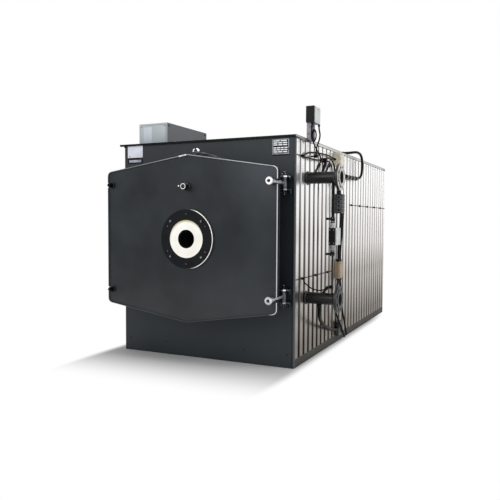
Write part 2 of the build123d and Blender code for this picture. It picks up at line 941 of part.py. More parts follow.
# Impulse lines: a stout one down from the flow pipe, a thin one from the return.
with BuildPart() as impulse_lines:
    add(upright(line_radius, upper_valve_height + valve_half, flow_height))
    add(upright(thin_line_radius, return_height, lower_valve_height - valve_half))
    for pipe_height in (flow_height, return_height):
        with BuildSketch(Plane.YZ.offset(half_width)):
            with Locations((pipe_y, pipe_height)):
                Circle(pipe_radius)
        extrude(amount=flange_reach, mode=Mode.SUBTRACT)
save(impulse_lines.part, "impulse_lines")

# Two small valves, each with a knob that points back at the casing.
with BuildPart() as isolation_valves:
    add(upright(valve_body_radius, upper_valve_height - valve_half, upper_valve_height + valve_half))
    add(upright(valve_body_radius, lower_valve_height - valve_half, lower_valve_height + valve_half))
    for valve_height in (upper_valve_height, lower_valve_height):
        with BuildSketch(Plane.YZ.offset(line_x - valve_body_radius - valve_knob_length)):
            with Locations((pipe_y, valve_height)):
                Circle(valve_knob_radius)
        extrude(amount=valve_knob_length + valve_body_radius)
save(isolation_valves.part, "isolation_valves")

# Differential pressure switch: cast ports, light body and black front cover.
with BuildPart() as switch_ports:
    with BuildSketch(Plane.XY.offset(switch_top)):
        with Locations((line_x, pipe_y)):
            Circle(port_radius)
    extrude(amount=port_height, taper=port_taper)
    with BuildSketch(Plane.XY.offset(switch_bottom)):
        with Locations((line_x, pipe_y)):
            Circle(port_radius)
    extrude(amount=-port_height, taper=port_taper)
save(switch_ports.part, "switch_ports")

switch_front = pipe_y - port_radius - 2
with BuildPart() as switch_body:
    with BuildSketch(Plane.XY.offset(switch_bottom)):
        with Locations((line_x, switch_front + (switch_depth + switch_cover) / 2)):
            Rectangle(switch_width, switch_depth - switch_cover)
    extrude(amount=switch_height)
save(switch_body.part, "switch_body")

with BuildPart() as switch_front_cover:
    with BuildSketch(Plane.XY.offset(switch_bottom)):
        with Locations((line_x, switch_front + switch_cover / 2)):
            Rectangle(switch_width, switch_cover)
    extrude(amount=switch_height)
save(switch_front_cover.part, "switch_cover")

# Control box on the roof.
control_middle = control_inset + control_width / 2 - half_width
with BuildPart() as control_box:
    with BuildSketch(Plane.XY.offset(casing_height)):
        with Locations((control_middle, front + control_setback + control_depth / 2)):
            Rectangle(control_width, control_depth)
    extrude(amount=control_height)
save(control_box.part, "control_box")

# Thermostat on a folded bracket at the roof's right edge.
stat_left = half_width - stat_overlap
stat_bottom = casing_height + bracket_height
plate_y = front + bracket_setback
with BuildPart() as thermostat_bracket:
    bracket_foot = half_width + trim_sheet
    with BuildSketch(Plane.XZ.offset(-(plate_y + bracket_sheet))):
        with BuildLine():
            Polyline(
                (bracket_foot, cladding_top),
                (stat_left + stat_width, cladding_top),
                (stat_left + stat_width, stat_bottom),
                (stat_left, stat_bottom),
                (stat_left, casing_height + trim_sheet),
                (bracket_foot, casing_height + trim_sheet),
                close=True,
            )
        make_face()
    extrude(amount=bracket_sheet)
    with BuildSketch(Plane.XY.offset(cladding_top)):
        with Locations((bracket_foot + bracket_sheet / 2, plate_y + bracket_width / 2)):
            Rectangle(bracket_sheet, bracket_width)
    extrude(amount=trim_height)
save(thermostat_bracket.part, "thermostat_bracket")

# Thermostat: a light box with a black front cover.
stat_front = plate_y - stat_overhang
with BuildPart() as thermostat_cover:
    with BuildSketch(Plane.XY.offset(stat_bottom)):
        with Locations((stat_left + stat_width / 2, stat_front + stat_cover / 2)):
            Rectangle(stat_width, stat_cover)
    extrude(amount=stat_height)
save(thermostat_cover.part, "thermostat_cover")

with BuildPart() as thermostat_box:
    with BuildSketch(Plane.XY.offset(stat_bottom)):
        with Locations((stat_left + stat_width / 2, stat_front + (stat_depth + stat_cover) / 2)):
            Rectangle(stat_width, stat_depth - stat_cover)
    extrude(amount=stat_height)
save(thermostat_box.part, "thermostat_box")


def wall_box(reach, setback, depth, bottom, height):
    """Small closed box on the right cladding."""
    with BuildPart() as box:
        with BuildSketch(Plane.XY.offset(bottom)):
            with Locations((half_width + reach / 2, front + setback + depth / 2)):
                Rectangle(reach, depth)
        extrude(amount=height)
        fillet(box.edges().filter_by(Axis.Z), radius=box_corner)
    return box.part


with BuildPart() as junction_boxes:
    junction_bottom = flow_height + junction_rise
    lower_box_bottom = return_height + lower_box_rise
    add(wall_box(junction_reach, junction_setback, junction_depth, junction_bottom, junction_height))
    add(wall_box(lower_box_reach, lower_box_setback, lower_box_depth, lower_box_bottom, lower_box_height))
save(junction_boxes.part, "junction_boxes")
terminal_bottom = flow_height - terminal_drop
save(
    wall_box(terminal_reach, terminal_setback, terminal_depth, terminal_bottom, terminal_height),
    "terminal_box",
)


def behind(route):
    """Route points given as reach from the middle, setback from the front, height."""
    return [(x, front + setback, height) for x, setback, height in route]


def bend_radii(points):
    """Largest even arc at each inner point of a route."""
    radii = []
    for before, corner, after in zip(points, points[1:], points[2:]):
        first = Vector(*corner) - Vector(*before)
        second = Vector(*after) - Vector(*corner)
        half_turn = radians(first.get_angle(second)) / 2
        radii.append(0.45 * min(first.length, second.length) / tan(half_turn))
    return radii


def cable(route, diameter, label):
    """Round cable along straight runs joined by arcs."""
    points = behind(route)
    radii = bend_radii(points)
    with BuildPart() as lead:
        with BuildLine() as path:
            FilletPolyline(*points, radius=radii)
        with BuildSketch(Plane(origin=path.line @ 0, z_dir=path.line % 0)):
            Circle(diameter / 2)
        sweep()
    length = sum(edge.length for edge in path.line.edges())
    ratio = lead.part.volume / (pi * diameter**2 / 4 * length)
    print(label, "length", round(length), "volume ratio", round(ratio, 4))
    print("  radii in diameters", [round(radius / diameter, 1) for radius in radii])
    return lead.part


# Thermostat cable: from the box down to the plug in front of the cladding.
thermostat_cable_route = [
    (803, 373, 1822),
    (803, 373, 1786),
    (807, 396, 1745),
    (801, 382, 1697),
    (796, 352, 1655),
    (795, 335, 1622),
    (795, 335, 1588),
]
save(cable(thermostat_cable_route, lead_diameter, "thermostat_cable"), "thermostat_cable")

# Capillary: from the thermostat to the head of the first pocket.
capillary_route = [
    (792, 241, 1822),
    (791.5, 239, 1795),
    (790, 236, 1760),
    (790, 234, 1722),
    (792.4, 235.2, 1700),
    (799, 236.3, 1683.9),
    (808, 237.5, 1678),
    (817, 238.7, 1683.9),
    (823.6, 239.8, 1700),
    (826, 241, 1722),
    (823.6, 242.2, 1744),
    (817, 243.3, 1760.1),
    (808, 244.5, 1766),
    (799, 245.7, 1760.1),
    (792.4, 246.8, 1744),
    (790, 248, 1722),
    (795, 248, 1694),
    (806, 247, 1664),
    (820, 247, 1632),
    (838, 249, 1600),
    (855, 254, 1567),
    (862.4, 259, 1536.8),
    (849.2, 259, 1511.6),
]
save(cable(capillary_route, capillary_diameter, "thermostat_capillary"), "thermostat_capillary")

# Sensor cable: upper side of the lens-shaped loop, into the upper junction box.
sensor_cable_route = [
    (768, 129, 1567),
    (768, 146, 1568),
    (770, 166, 1577),
    (773, 215, 1592),
    (775, 300, 1604),
    (776, 400, 1612),
    (777, 540, 1618),
    (777, 650, 1622),
    (774, 750, 1622),
    (770, 825, 1616),
    (770, 870, 1612),
    (770, 916, 1612),
]
save(cable(sensor_cable_route, lead_diameter, "sensor_cable"), "sensor_cable")

# Roof conduit: over the roof edge in one arc and down to the cladding.
roof_conduit_route = [
    (700, 1440, 1724),
    (755, 1440, 1724),
    (784, 1470, 1731),
    (796, 1530, 1738),
    (801, 1600, 1737),
    (802, 1662, 1727),
    (803, 1703, 1702),
    (803, 1722, 1660),
    (801, 1729, 1600),
    (799, 1722, 1550),
    (797, 1693, 1518),
    (795, 1640, 1501),
    (792, 1560, 1490),
    (787, 1460, 1486),
    (781, 1351, 1486),
    (779, 1250, 1488),
    (780, 1165, 1475),
    (783, 1085, 1430),
    (785, 1035, 1385),
    (785, 1020, 1350),
    (785, 1020, 1317),
]
save(cable(roof_conduit_route, conduit_diameter, "roof_conduit"), "roof_conduit")

# Drain hose: from the underside of the return pipe to the drain block.
drain_hose_route = [
    (861, 259, 450.2),
    (861, 259, 420),
    (854, 278, 380),
    (840, 330, 335),
    (826, 410, 290),
    (812, 512, 250),
    (796, 664, 200),
    (781, 847, 155),
    (773, 960, 130),
    (770, 1010, 123),
    (770, 1048, 123),
]
save(cable(drain_hose_route, hose_diameter, "drain_hose"), "drain_hose")

# Lower sensor cable: a slack lead from the clip to the pocket on the return pipe.
lower_sensor_route = [
    (768, 158, 641),
    (768, 158, 632),
    (772, 167, 619),
    (782, 184, 603),
    (797, 205, 583),
    (820, 226, 566),
    (850, 238, 557),
    (885, 239, 559),
    (912, 238, 570),
    (931, 241, 588),
    (946, 241, 588),
]
save(cable(lower_sensor_route, capillary_diameter, "lower_sensor_cable"), "lower_sensor_cable")


def crest_y(index):
    """Middle of one outer flat of the corrugated sheet."""
    return front + wave_first + (index - 0.5) * wave_pitch


# Runs that are clipped to the cladding or held between two boxes.
bundle_route = [
    (782, 610, 1558),
    (782, 610, 1545),
    (778, 598, 1522),
    (774, 580, 1495),
    (772, 568, 1468),
    (774, 575, 1443),
    (779, 602, 1428),
    (786, 650, 1425),
    (790, 720, 1424),
    (790, 790, 1420),
    (789, 860, 1408),
    (787, 925, 1386),
    (785, 970, 1358),
    (785, 991, 1337),
    (785, 991, 1317),
]
loop_route = [
    (768, 129, 1553),
    (768, 160, 1553),
    (775, 220, 1554),
    (780, 340, 1553),
    (778, 420, 1558),
    (775, 490, 1564),
    (775, 545, 1566),
    (775, 592, 1566),
]
first_drop_route = [
    (802, 1030, 1150),
    (802, 1030, 1112),
    (797, 1018, 1040),
    (792, 1008, 960),
    (789, 1000, 880),
    (787, 1000, 810),
    (787, 1006, 765),
    (787, 1006, 725),
]
second_drop_route = [
    (802, 1066, 1150),
    (802, 1066, 1112),
    (799, 1062, 1040),
    (795, 1056, 960),
    (790, 1050, 880),
    (787, 1050, 810),
    (785, 1054, 765),
    (785, 1054, 725),
]
first_foot_route = [
    (785, 1000, 579),
    (785, 1000, 545),
    (786, 960, 480),
    (788, 905, 400),
    (790, 872, 350),
    (793, 895, 312),
    (795, 913, 294),
    (795, 955, 251),
    (795, 998, 214),
    (795, 1063, 158),
    (795, 1134, 93),
    (794, 1190, 46),
    (794, 1205, 26),
]
first_arc_route = [
    (775, 628.2, 1568),
    (775, 640, 1568),
    (779, 672, 1571),
    (785, 712, 1569),
    (790, 745, 1546),
    (790, 765, 1520),
    (790, 771, 1483),
    (790, 776, 1424),
]
second_arc_route = [
    (775, 628.2, 1584.5),
    (775, 640, 1584.5),
    (778, 662, 1594),
    (782, 700, 1601),
    (786, 751, 1595),
    (790, 800, 1568),
    (790, 838, 1540),
    (790, 848, 1510),
    (790, 852, 1470),
    (789, 855, 1416),
]
second_foot_route = [
    (785, 1072, 579),
    (785, 1072, 545),
    (788, 1095, 440),
    (790, 1108, 374),
    (792, 1118, 292),
    (792, 1147, 243),
    (790, 1210, 162),
    (788, 1258, 93),
    (787, 1280, 52),
    (786, 1290, 28),
]
wire_x = half_width + wire_diameter / 2 + clip_gap
upper_wire_end = rear - front - panel_sheet
with BuildPart() as cable_runs:
    add(cable(bundle_route, bundle_diameter, "bundle"))
    add(cable(loop_route, lead_diameter, "loop"))
    add(cable(first_arc_route, lead_diameter, "first arc"))
    add(cable(second_arc_route, lead_diameter, "second arc"))
    add(cable(first_drop_route, drop_diameter, "first drop"))
    add(cable(second_drop_route, drop_diameter, "second drop"))
    add(cable(first_foot_route, hose_foot_diameter, "first foot"))
    add(cable(second_foot_route, hose_foot_diameter, "second foot"))
    for start, end, height in (
        (upper_wire_start, upper_wire_end, upper_wire_height),
        (lower_wire_start, lower_wire_end, lower_wire_height),
        (lower_wire_start, top_wire_end, top_wire_height),
    ):
        with BuildSketch(Plane.XZ.offset(-(front + end))):
            with Locations((wire_x, height)):
                Circle(wire_diameter / 2)
        extrude(amount=end - start)
save(cable_runs.part, "cable_runs")

# Clips, the roof inlet, and the plug that the thermostat cable ends in.
plug_plane = Plane(
    origin=(plug_reach, front + plug_setback, plug_height), x_dir=(1, 0, 0), z_dir=(0, 0, -1)
)
with BuildPart() as cable_fixings:
    clip_places = [(crest_y(index), upper_wire_height) for index in upper_clip_crests]
    clip_places += [(crest_y(index), lower_wire_height) for index in lower_clip_crests]
    clip_depth = wire_diameter + clip_gap + clip_cover
    for clip_y, height in clip_places:
        with BuildSketch(Plane.XY.offset(height - clip_height / 2)):
            with Locations((half_width + clip_depth / 2, clip_y)):
                Rectangle(clip_depth, clip_width)
        extrude(amount=clip_height)
        with BuildSketch(Plane.XZ.offset(-(clip_y + clip_width))):
            with Locations((wire_x, height)):
                Circle(wire_diameter / 2)
        extrude(amount=2 * clip_width, mode=Mode.SUBTRACT)
    with BuildSketch(Plane.XY.offset(casing_height)):
        with Locations((half_width - inlet_inset - inlet_size / 2, front + inlet_setback)):
            Rectangle(inlet_size, inlet_size)
    extrude(amount=inlet_height)
    with BuildSketch(plug_plane):
        Circle(gland_radius)
    extrude(amount=gland_length)
    with BuildSketch(Plane.YZ.offset(half_width)):
        with Locations((front + plug_setback, plug_height - gland_length / 2)):
            Circle(gland_radius / 2)
    extrude(amount=plug_reach - half_width)
    with BuildSketch(Plane.XY.offset(splitter_bottom)):
        with Locations((half_width + splitter_reach / 2, front + splitter_setback)):
            Rectangle(splitter_reach, splitter_depth)
    extrude(amount=splitter_height)
    with BuildSketch(Plane.XY.offset(line_sensor_height - line_sensor_size / 2)):
        with Locations((line_x, pipe_y - thin_line_radius - line_sensor_size / 2)):
            Rectangle(line_sensor_size, line_sensor_size)
    extrude(amount=line_sensor_size)
    for clip_setback, height in (
        (top_clip_setback, top_wire_height),
        (lower_clip_setback, lower_wire_height),
    ):
        with BuildSketch(Plane.XY.offset(height - clip_height / 2)):
            with Locations((half_width + end_clip_depth / 2, front + clip_setback)):
                Rectangle(end_clip_depth, clip_width)
        extrude(amount=clip_height)
        with BuildSketch(Plane.XZ.offset(-(front + clip_setback + clip_width))):
            with Locations((wire_x, height)):
                Circle(wire_diameter / 2)
        extrude(amount=2 * clip_width, mode=Mode.SUBTRACT)
save(cable_fixings.part, "cable_fixings")

with BuildPart() as drain_block:
    with BuildSketch(Plane.XY.offset(drain_block_bottom)):
        with Locations(
            (half_width + drain_block_width / 2, front + drain_block_setback + drain_block_depth / 2)
        ):
            Rectangle(drain_block_width, drain_block_depth)
    extrude(amount=drain_block_height)
save(drain_block.part, "drain_block")
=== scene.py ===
from math import cos, radians, sin

import bmesh
import bpy
from mathutils import Matrix, Vector


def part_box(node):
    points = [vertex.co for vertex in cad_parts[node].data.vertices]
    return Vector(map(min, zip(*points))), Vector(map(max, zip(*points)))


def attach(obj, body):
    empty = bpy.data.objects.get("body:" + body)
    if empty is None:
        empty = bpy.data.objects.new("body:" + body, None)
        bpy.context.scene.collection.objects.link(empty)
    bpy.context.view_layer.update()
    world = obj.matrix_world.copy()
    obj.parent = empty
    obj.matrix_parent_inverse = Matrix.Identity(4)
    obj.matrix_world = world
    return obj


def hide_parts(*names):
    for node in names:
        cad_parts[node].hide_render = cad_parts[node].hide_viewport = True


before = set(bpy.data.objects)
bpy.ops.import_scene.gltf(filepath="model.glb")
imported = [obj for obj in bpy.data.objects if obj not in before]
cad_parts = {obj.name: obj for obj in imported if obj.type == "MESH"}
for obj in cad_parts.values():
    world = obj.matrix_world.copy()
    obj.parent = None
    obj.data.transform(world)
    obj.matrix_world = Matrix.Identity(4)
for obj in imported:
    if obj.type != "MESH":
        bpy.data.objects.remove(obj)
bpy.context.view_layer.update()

# The camera stands in front of the boiler's right corner at chest height, level with the pipes.
# Lens and place come from the straight edges of the casing in the photograph.
camera_place = Vector((2.2305, -5.4163, 1.0781))
camera_turn = radians(25.0605)
camera_pitch = radians(90 - 2.8689)
camera_roll = radians(0.3302)
lens = bpy.data.cameras.new("photo_lens")
lens.lens = 41.63
camera = bpy.data.objects.new("camera", lens)
camera.matrix_world = (
    Matrix.Translation(camera_place)
    @ Matrix.Rotation(camera_turn, 4, "Z")
    @ Matrix.Rotation(camera_pitch, 4, "X")
    @ Matrix.Rotation(camera_roll, 4, "Z")
)
bpy.context.collection.objects.link(camera)
bpy.context.scene.camera = camera
bpy.context.scene.view_settings.view_transform = "Standard"

# Studio: a white floor that takes the boiler's soft shadow, which fades with the distance from its base
# and sooner at its sides. The surround is white for the camera and for polished metal, and two large
# soft lamps stand high on the right and in front.
floor_size = 60.0
shadow_middle = (-0.025, -0.4, 0)
shadow_reach = (0.765, 1.1, 0)
side_shortening = (8, 1, 1)
fade_start, fade_end = 0.05, 0.86
floor_mesh = bpy.data.meshes.new("studio_floor")
shape = bmesh.new()
bmesh.ops.create_grid(shape, x_segments=1, y_segments=1, size=floor_size)
shape.to_mesh(floor_mesh)
shape.free()
floor = bpy.data.objects.new("studio_floor", floor_mesh)
floor.location.z = -0.0005
bpy.context.collection.objects.link(floor)

floor_paint = bpy.data.materials.new("white_floor")
floor_paint.use_nodes = True
nodes, links = floor_paint.node_tree.nodes, floor_paint.node_tree.links
floor_shader = nodes["Principled BSDF"]
floor_shader.inputs["Base Color"].default_value = (0.5, 0.5, 0.5, 1)
floor_shader.inputs["Roughness"].default_value = 0.9
glow = nodes.new("ShaderNodeEmission")
glow.inputs["Strength"].default_value = 1.0
place = nodes.new("ShaderNodeTexCoord")
step_out = place.outputs["Object"]
for operation, amount in (
    ("SUBTRACT", shadow_middle),
    ("ABSOLUTE", (0, 0, 0)),
    ("SUBTRACT", shadow_reach),
    ("MAXIMUM", (0, 0, 0)),
    ("MULTIPLY", side_shortening),
):
    step = nodes.new("ShaderNodeVectorMath")
    step.operation = operation
    step.inputs[1].default_value = amount
    links.new(step_out, step.inputs[0])
    step_out = step.outputs["Vector"]
distance = nodes.new("ShaderNodeVectorMath")
distance.operation = "LENGTH"
fade = nodes.new("ShaderNodeMapRange")
fade.inputs["From Min"].default_value = fade_start
fade.inputs["From Max"].default_value = fade_end
fade.interpolation_type = "SMOOTHSTEP"
blend = nodes.new("ShaderNodeMixShader")
links.new(step_out, distance.inputs[0])
links.new(distance.outputs["Value"], fade.inputs["Value"])
links.new(fade.outputs["Result"], blend.inputs["Fac"])
links.new(floor_shader.outputs["BSDF"], blend.inputs[1])
links.new(glow.outputs["Emission"], blend.inputs[2])
links.new(blend.outputs["Shader"], nodes["Material Output"].inputs["Surface"])
floor_mesh.materials.append(floor_paint)

world = bpy.data.worlds.new("studio")
bpy.context.scene.world = world
world.use_nodes = True
nodes, links = world.node_tree.nodes, world.node_tree.links
background = nodes["Background"]
background.inputs["Color"].default_value = (1, 1, 1, 1)
ray = nodes.new("ShaderNodeLightPath")
sight = ray.outputs["Is Camera Ray"]
for other in ("Is Glossy Ray", "Is Transmission Ray"):
    either = nodes.new("ShaderNodeMath")
    either.operation = "MAXIMUM"
    links.new(sight, either.inputs[0])
    links.new(ray.outputs[other], either.inputs[1])
    sight = either.outputs["Value"]
surround_strength = nodes.new("ShaderNodeMapRange")
surround_strength.inputs["To Min"].default_value = 0.55
surround_strength.inputs["To Max"].default_value = 1.0
links.new(sight, surround_strength.inputs["Value"])
links.new(surround_strength.outputs["Result"], background.inputs["Strength"])


def soft_lamp(name, place, aim, size, power):
    """Large square lamp that looks at a point."""
    data = bpy.data.lights.new(name, "AREA")
    data.size = size
    data.energy = power
    lamp = bpy.data.objects.new(name, data)
    lamp.location = place
    lamp.rotation_euler = (Vector(aim) - Vector(place)).to_track_quat("-Z", "Y").to_euler()
    bpy.context.collection.objects.link(lamp)


soft_lamp("right_lamp", place=(6.0, -1.0, 4.5), aim=(0.7, 0.0, 0.8), size=4.0, power=260)
soft_lamp("front_lamp", place=(-1.5, -7.5, 4.2), aim=(0.0, -1.5, 0.9), size=4.0, power=150)

# Loose leads, conduits and hoses: black rubber and plastic, each on the route of its own tube in the frame.
# They leave their box or gland straight and hang in slack curves. What is clipped down is black too.


def tone(colour):
    """Red, green and blue from 0 to 255, as a shader takes them."""
    return tuple((value / 255) ** 2.2 for value in colour) + (1,)


def finish(name, low, high, polish, drift, grain, metal=0, shine=0.5):
    """A finish whose tone and roughness drift over the piece, with a fine grain on top.

    The polish is the least and the most roughness, the drift a scale, and the grain a scale and a strength.
    """
    material = bpy.data.materials.new(name)
    material.use_nodes = True
    nodes, links = material.node_tree.nodes, material.node_tree.links
    shader = nodes["Principled BSDF"]
    shader.inputs["Metallic"].default_value = metal
    shader.inputs["Specular IOR Level"].default_value = shine
    place = nodes.new("ShaderNodeTexCoord")
    patches = nodes.new("ShaderNodeTexNoise")
    patches.inputs["Scale"].default_value = drift
    patches.inputs["Detail"].default_value = 5
    colours = nodes.new("ShaderNodeValToRGB")
    colours.color_ramp.elements[0].position = 0.3
    colours.color_ramp.elements[0].color = tone(low)
    colours.color_ramp.elements[1].position = 0.7
    colours.color_ramp.elements[1].color = tone(high)
    roughness = nodes.new("ShaderNodeMapRange")
    roughness.inputs["From Min"].default_value = 0.3
    roughness.inputs["From Max"].default_value = 0.7
    roughness.inputs["To Min"].default_value = polish[0]
    roughness.inputs["To Max"].default_value = polish[1]
    speckle = nodes.new("ShaderNodeTexNoise")
    speckle.inputs["Scale"].default_value = grain[0]
    speckle.inputs["Detail"].default_value = 2
    bump = nodes.new("ShaderNodeBump")
    bump.inputs["Strength"].default_value = grain[1]
    bump.inputs["Distance"].default_value = 0.001
    links.new(place.outputs["Object"], patches.inputs["Vector"])
    links.new(place.outputs["Object"], speckle.inputs["Vector"])
    links.new(patches.outputs["Fac"], colours.inputs["Fac"])
    links.new(patches.outputs["Fac"], roughness.inputs["Value"])
    links.new(colours.outputs["Color"], shader.inputs["Base Color"])
    links.new(roughness.outputs["Result"], shader.inputs["Roughness"])
    links.new(speckle.outputs["Fac"], bump.inputs["Height"])
    links.new(bump.outputs["Normal"], shader.inputs["Normal"])
    return material


def coat(material, *names):
    """Give the frame's own pieces a finish."""
    for name in names:
        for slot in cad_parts[name].material_slots:
            slot.material = material


black_rubber = finish(
    "black_rubber", (6, 6, 8), (14, 14, 17),
    polish=(0.45, 0.6), drift=18, grain=(500, 0.15), shine=0.1,
)


def lead(name, diameter, route):
    """Cable or hose along a route, in place of its tube."""
    data = bpy.data.curves.new(name, "CURVE")
    data.dimensions = "3D"
    data.bevel_depth = diameter / 2
    data.bevel_resolution = 4
    data.resolution_u = 12
    data.use_fill_caps = True
    line = data.splines.new("NURBS")
    line.points.add(len(route) - 1)
    for point, place in zip(line.points, route):
        point.co = (*place, 1)
    line.order_u = 3
    line.use_endpoint_u = True
    data.materials.append(black_rubber)
    piece = bpy.data.objects.new(name + "_jacket", data)
    bpy.context.collection.objects.link(piece)
    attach(piece, "casing")
    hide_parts(name)


lead(
    "thermostat_cable", diameter=0.012,
    route=[
        (0.803, -1.122, 1.822), (0.803, -1.122, 1.786), (0.807, -1.099, 1.745), (0.801, -1.113, 1.697),
        (0.796, -1.143, 1.655), (0.795, -1.16, 1.622), (0.795, -1.16, 1.588),
    ],
)

lead(
    "thermostat_capillary", diameter=0.010,
    route=[
        (0.792, -1.254, 1.822), (0.7915, -1.256, 1.795), (0.79, -1.259, 1.76), (0.79, -1.261, 1.722),
        (0.7924, -1.2598, 1.7), (0.799, -1.2587, 1.6839), (0.808, -1.2575, 1.678), (0.817, -1.2563, 1.6839),
        (0.8236, -1.2552, 1.7), (0.826, -1.254, 1.722), (0.8236, -1.2528, 1.744), (0.817, -1.2517, 1.7601),
        (0.808, -1.2505, 1.766), (0.799, -1.2493, 1.7601), (0.7924, -1.2482, 1.744), (0.79, -1.247, 1.722),
        (0.795, -1.247, 1.694), (0.806, -1.248, 1.664), (0.82, -1.248, 1.632), (0.838, -1.246, 1.6),
        (0.855, -1.241, 1.567), (0.8624, -1.236, 1.5368), (0.8492, -1.236, 1.5116),
    ],
)

lead(
    "sensor_cable", diameter=0.012,
    route=[
        (0.768, -1.366, 1.567), (0.768, -1.349, 1.568), (0.77, -1.329, 1.577), (0.773, -1.28, 1.592),
        (0.775, -1.195, 1.604), (0.776, -1.095, 1.612), (0.777, -0.955, 1.618), (0.777, -0.845, 1.622),
        (0.774, -0.745, 1.622), (0.77, -0.67, 1.616), (0.77, -0.625, 1.612), (0.77, -0.579, 1.612),
    ],
)

lead(
    "roof_conduit", diameter=0.024,
    route=[
        (0.7, -0.055, 1.724), (0.755, -0.055, 1.724), (0.784, -0.025, 1.731), (0.796, 0.035, 1.738),
        (0.801, 0.105, 1.737), (0.802, 0.167, 1.727), (0.803, 0.208, 1.702), (0.803, 0.227, 1.66),
        (0.801, 0.234, 1.6), (0.799, 0.227, 1.55), (0.797, 0.198, 1.518), (0.795, 0.145, 1.501),
        (0.792, 0.065, 1.49), (0.787, -0.035, 1.486), (0.781, -0.144, 1.486), (0.779, -0.245, 1.488),
        (0.78, -0.33, 1.475), (0.783, -0.41, 1.43), (0.785, -0.46, 1.385), (0.785, -0.475, 1.35),
        (0.785, -0.475, 1.317),
    ],
)

lead(
    "drain_hose", diameter=0.027,
    route=[
        (0.861, -1.236, 0.4502), (0.861, -1.236, 0.42), (0.854, -1.217, 0.38), (0.84, -1.165, 0.335),
        (0.826, -1.085, 0.29), (0.812, -0.983, 0.25), (0.796, -0.831, 0.2), (0.781, -0.648, 0.155),
        (0.773, -0.535, 0.13), (0.77, -0.485, 0.123), (0.77, -0.447, 0.123),
    ],
)

lead(
    "lower_sensor_cable", diameter=0.010,
    route=[
        (0.768, -1.337, 0.641), (0.768, -1.337, 0.632), (0.772, -1.328, 0.619), (0.782, -1.311, 0.603),
        (0.797, -1.29, 0.583), (0.82, -1.269, 0.566), (0.85, -1.257, 0.557), (0.885, -1.256, 0.559),
        (0.912, -1.257, 0.57), (0.931, -1.254, 0.588), (0.946, -1.254, 0.588),
    ],
)
coat(black_rubber, "cable_runs", "cable_fixings")

# Base and front: folded steel, powder coated almost black with a fine orange-peel grain.
# The skirt and the rails are the same steel in a flatter brown-black.
# The door has a painted highlight at its upper right corner, painted light towards its bottom and painted
# shade on its side faces. The panel has painted shade, then a painted highlight, along its folded edges.
ACROSS = (1, 0, 0)
ALONG = (0, 1, 0)
UP = (0, 0, 1)
FACING = (1, 0, 1)


def measure(material, scale, centre=(0, 0, 0), source="Object"):
    """Distance of a place on the piece, or size of its direction, with each axis scaled."""
    nodes, links = material.node_tree.nodes, material.node_tree.links
    place = nodes.new("ShaderNodeTexCoord")
    shift = nodes.new("ShaderNodeMapping")
    shift.inputs["Location"].default_value = [-middle * factor for middle, factor in zip(centre, scale)]
    shift.inputs["Scale"].default_value = scale
    span = nodes.new("ShaderNodeVectorMath")
    span.operation = "LENGTH"
    links.new(place.outputs[source], shift.inputs["Vector"])
    links.new(shift.outputs["Vector"], span.inputs[0])
    return span.outputs["Value"]


def mask(material, value, start, end):
    """0 where the value is at start, 1 where it is at end."""
    ramp = material.node_tree.nodes.new("ShaderNodeMapRange")
    ramp.inputs["From Min"].default_value = start
    ramp.inputs["From Max"].default_value = end
    material.node_tree.links.new(value, ramp.inputs["Value"])
    return ramp.outputs["Result"]


def combined(material, operation, first, second):
    """Two masks as one."""
    both = material.node_tree.nodes.new("ShaderNodeMath")
    both.operation = operation
    material.node_tree.links.new(first, both.inputs[0])
    material.node_tree.links.new(second, both.inputs[1])
    return both.outputs["Value"]


def cover(material, where, colour, metal=None, rough=None, blend="MIX"):
    """Lay a second finish over the first where the mask is 1."""
    nodes, links = material.node_tree.nodes, material.node_tree.links
    shader = nodes["Principled BSDF"]
    for socket, kind, value in (
        ("Base Color", "RGBA", tone(colour)),
        ("Metallic", "FLOAT", metal),
        ("Roughness", "FLOAT", rough),
    ):
        if value is None:
            continue
        mix = nodes.new("ShaderNodeMix")
        mix.data_type = kind
        if kind == "RGBA":
            mix.blend_type = blend
        under = shader.inputs[socket]
        if under.is_linked:
            links.new(under.links[0].from_socket, mix.inputs["A"])
        else:
            mix.inputs["A"].default_value = under.default_value
        mix.inputs["B"].default_value = value
        links.new(where, mix.inputs["Factor"])
        links.new(mix.outputs["Result"], under)


def middle_of(name):
    """Middle of a frame piece's box."""
    return [low / 2 + high / 2 for low, high in zip(*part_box(name))]


dark_paint = finish(
    "dark_powder_coat", (28, 32, 36), (44, 48, 51),
    polish=(0.36, 0.52), drift=3.2, grain=(260, 0.5), shine=0.22,
)
door_side_face = measure(dark_paint, ACROSS, source="Normal")
door_level = measure(dark_paint, UP)
door_highlight_distance = measure(dark_paint, FACING, (0.66, 0, 1.47))
# Painted light: the door is made lighter towards its bottom.
cover(dark_paint, mask(dark_paint, door_level, 0.85, 0.3), (39, 38, 37), blend="ADD")
# Painted highlight at the door's upper right corner.
cover(dark_paint, mask(dark_paint, door_highlight_distance, 0.42, 0.02), (56, 59, 63), blend="ADD")
# Painted shade: the door's side faces are made dark.
cover(dark_paint, mask(dark_paint, door_side_face, 0.6, 0.9), (14, 15, 17), metal=1, rough=0.6)
panel_paint = finish(
    "front_panel_coat", (33, 39, 42), (42, 48, 51),
    polish=(0.38, 0.54), drift=1.8, grain=(260, 0.5), shine=0.3,
)
panel_low, panel_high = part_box("front_panel")
panel_edge = panel_high[0]
panel_side = measure(panel_paint, ACROSS)
# Painted shade, then a painted highlight, along the panel's folded side edges.
cover(panel_paint, mask(panel_paint, panel_side, panel_edge - 0.022, panel_edge - 0.018), (20, 25, 29))
cover(panel_paint, mask(panel_paint, panel_side, panel_edge - 0.012, panel_edge - 0.007), (58, 63, 68))
base_paint = finish(
    "base_paint", (28, 27, 22), (42, 39, 34),
    polish=(0.5, 0.7), drift=4, grain=(300, 0.4), shine=0.3,
)
coat(panel_paint, "front_panel", "rear_panel")
coat(dark_paint, "door_plate")
coat(base_paint, "base_rails", "base_cross_members", "shell_saddles")

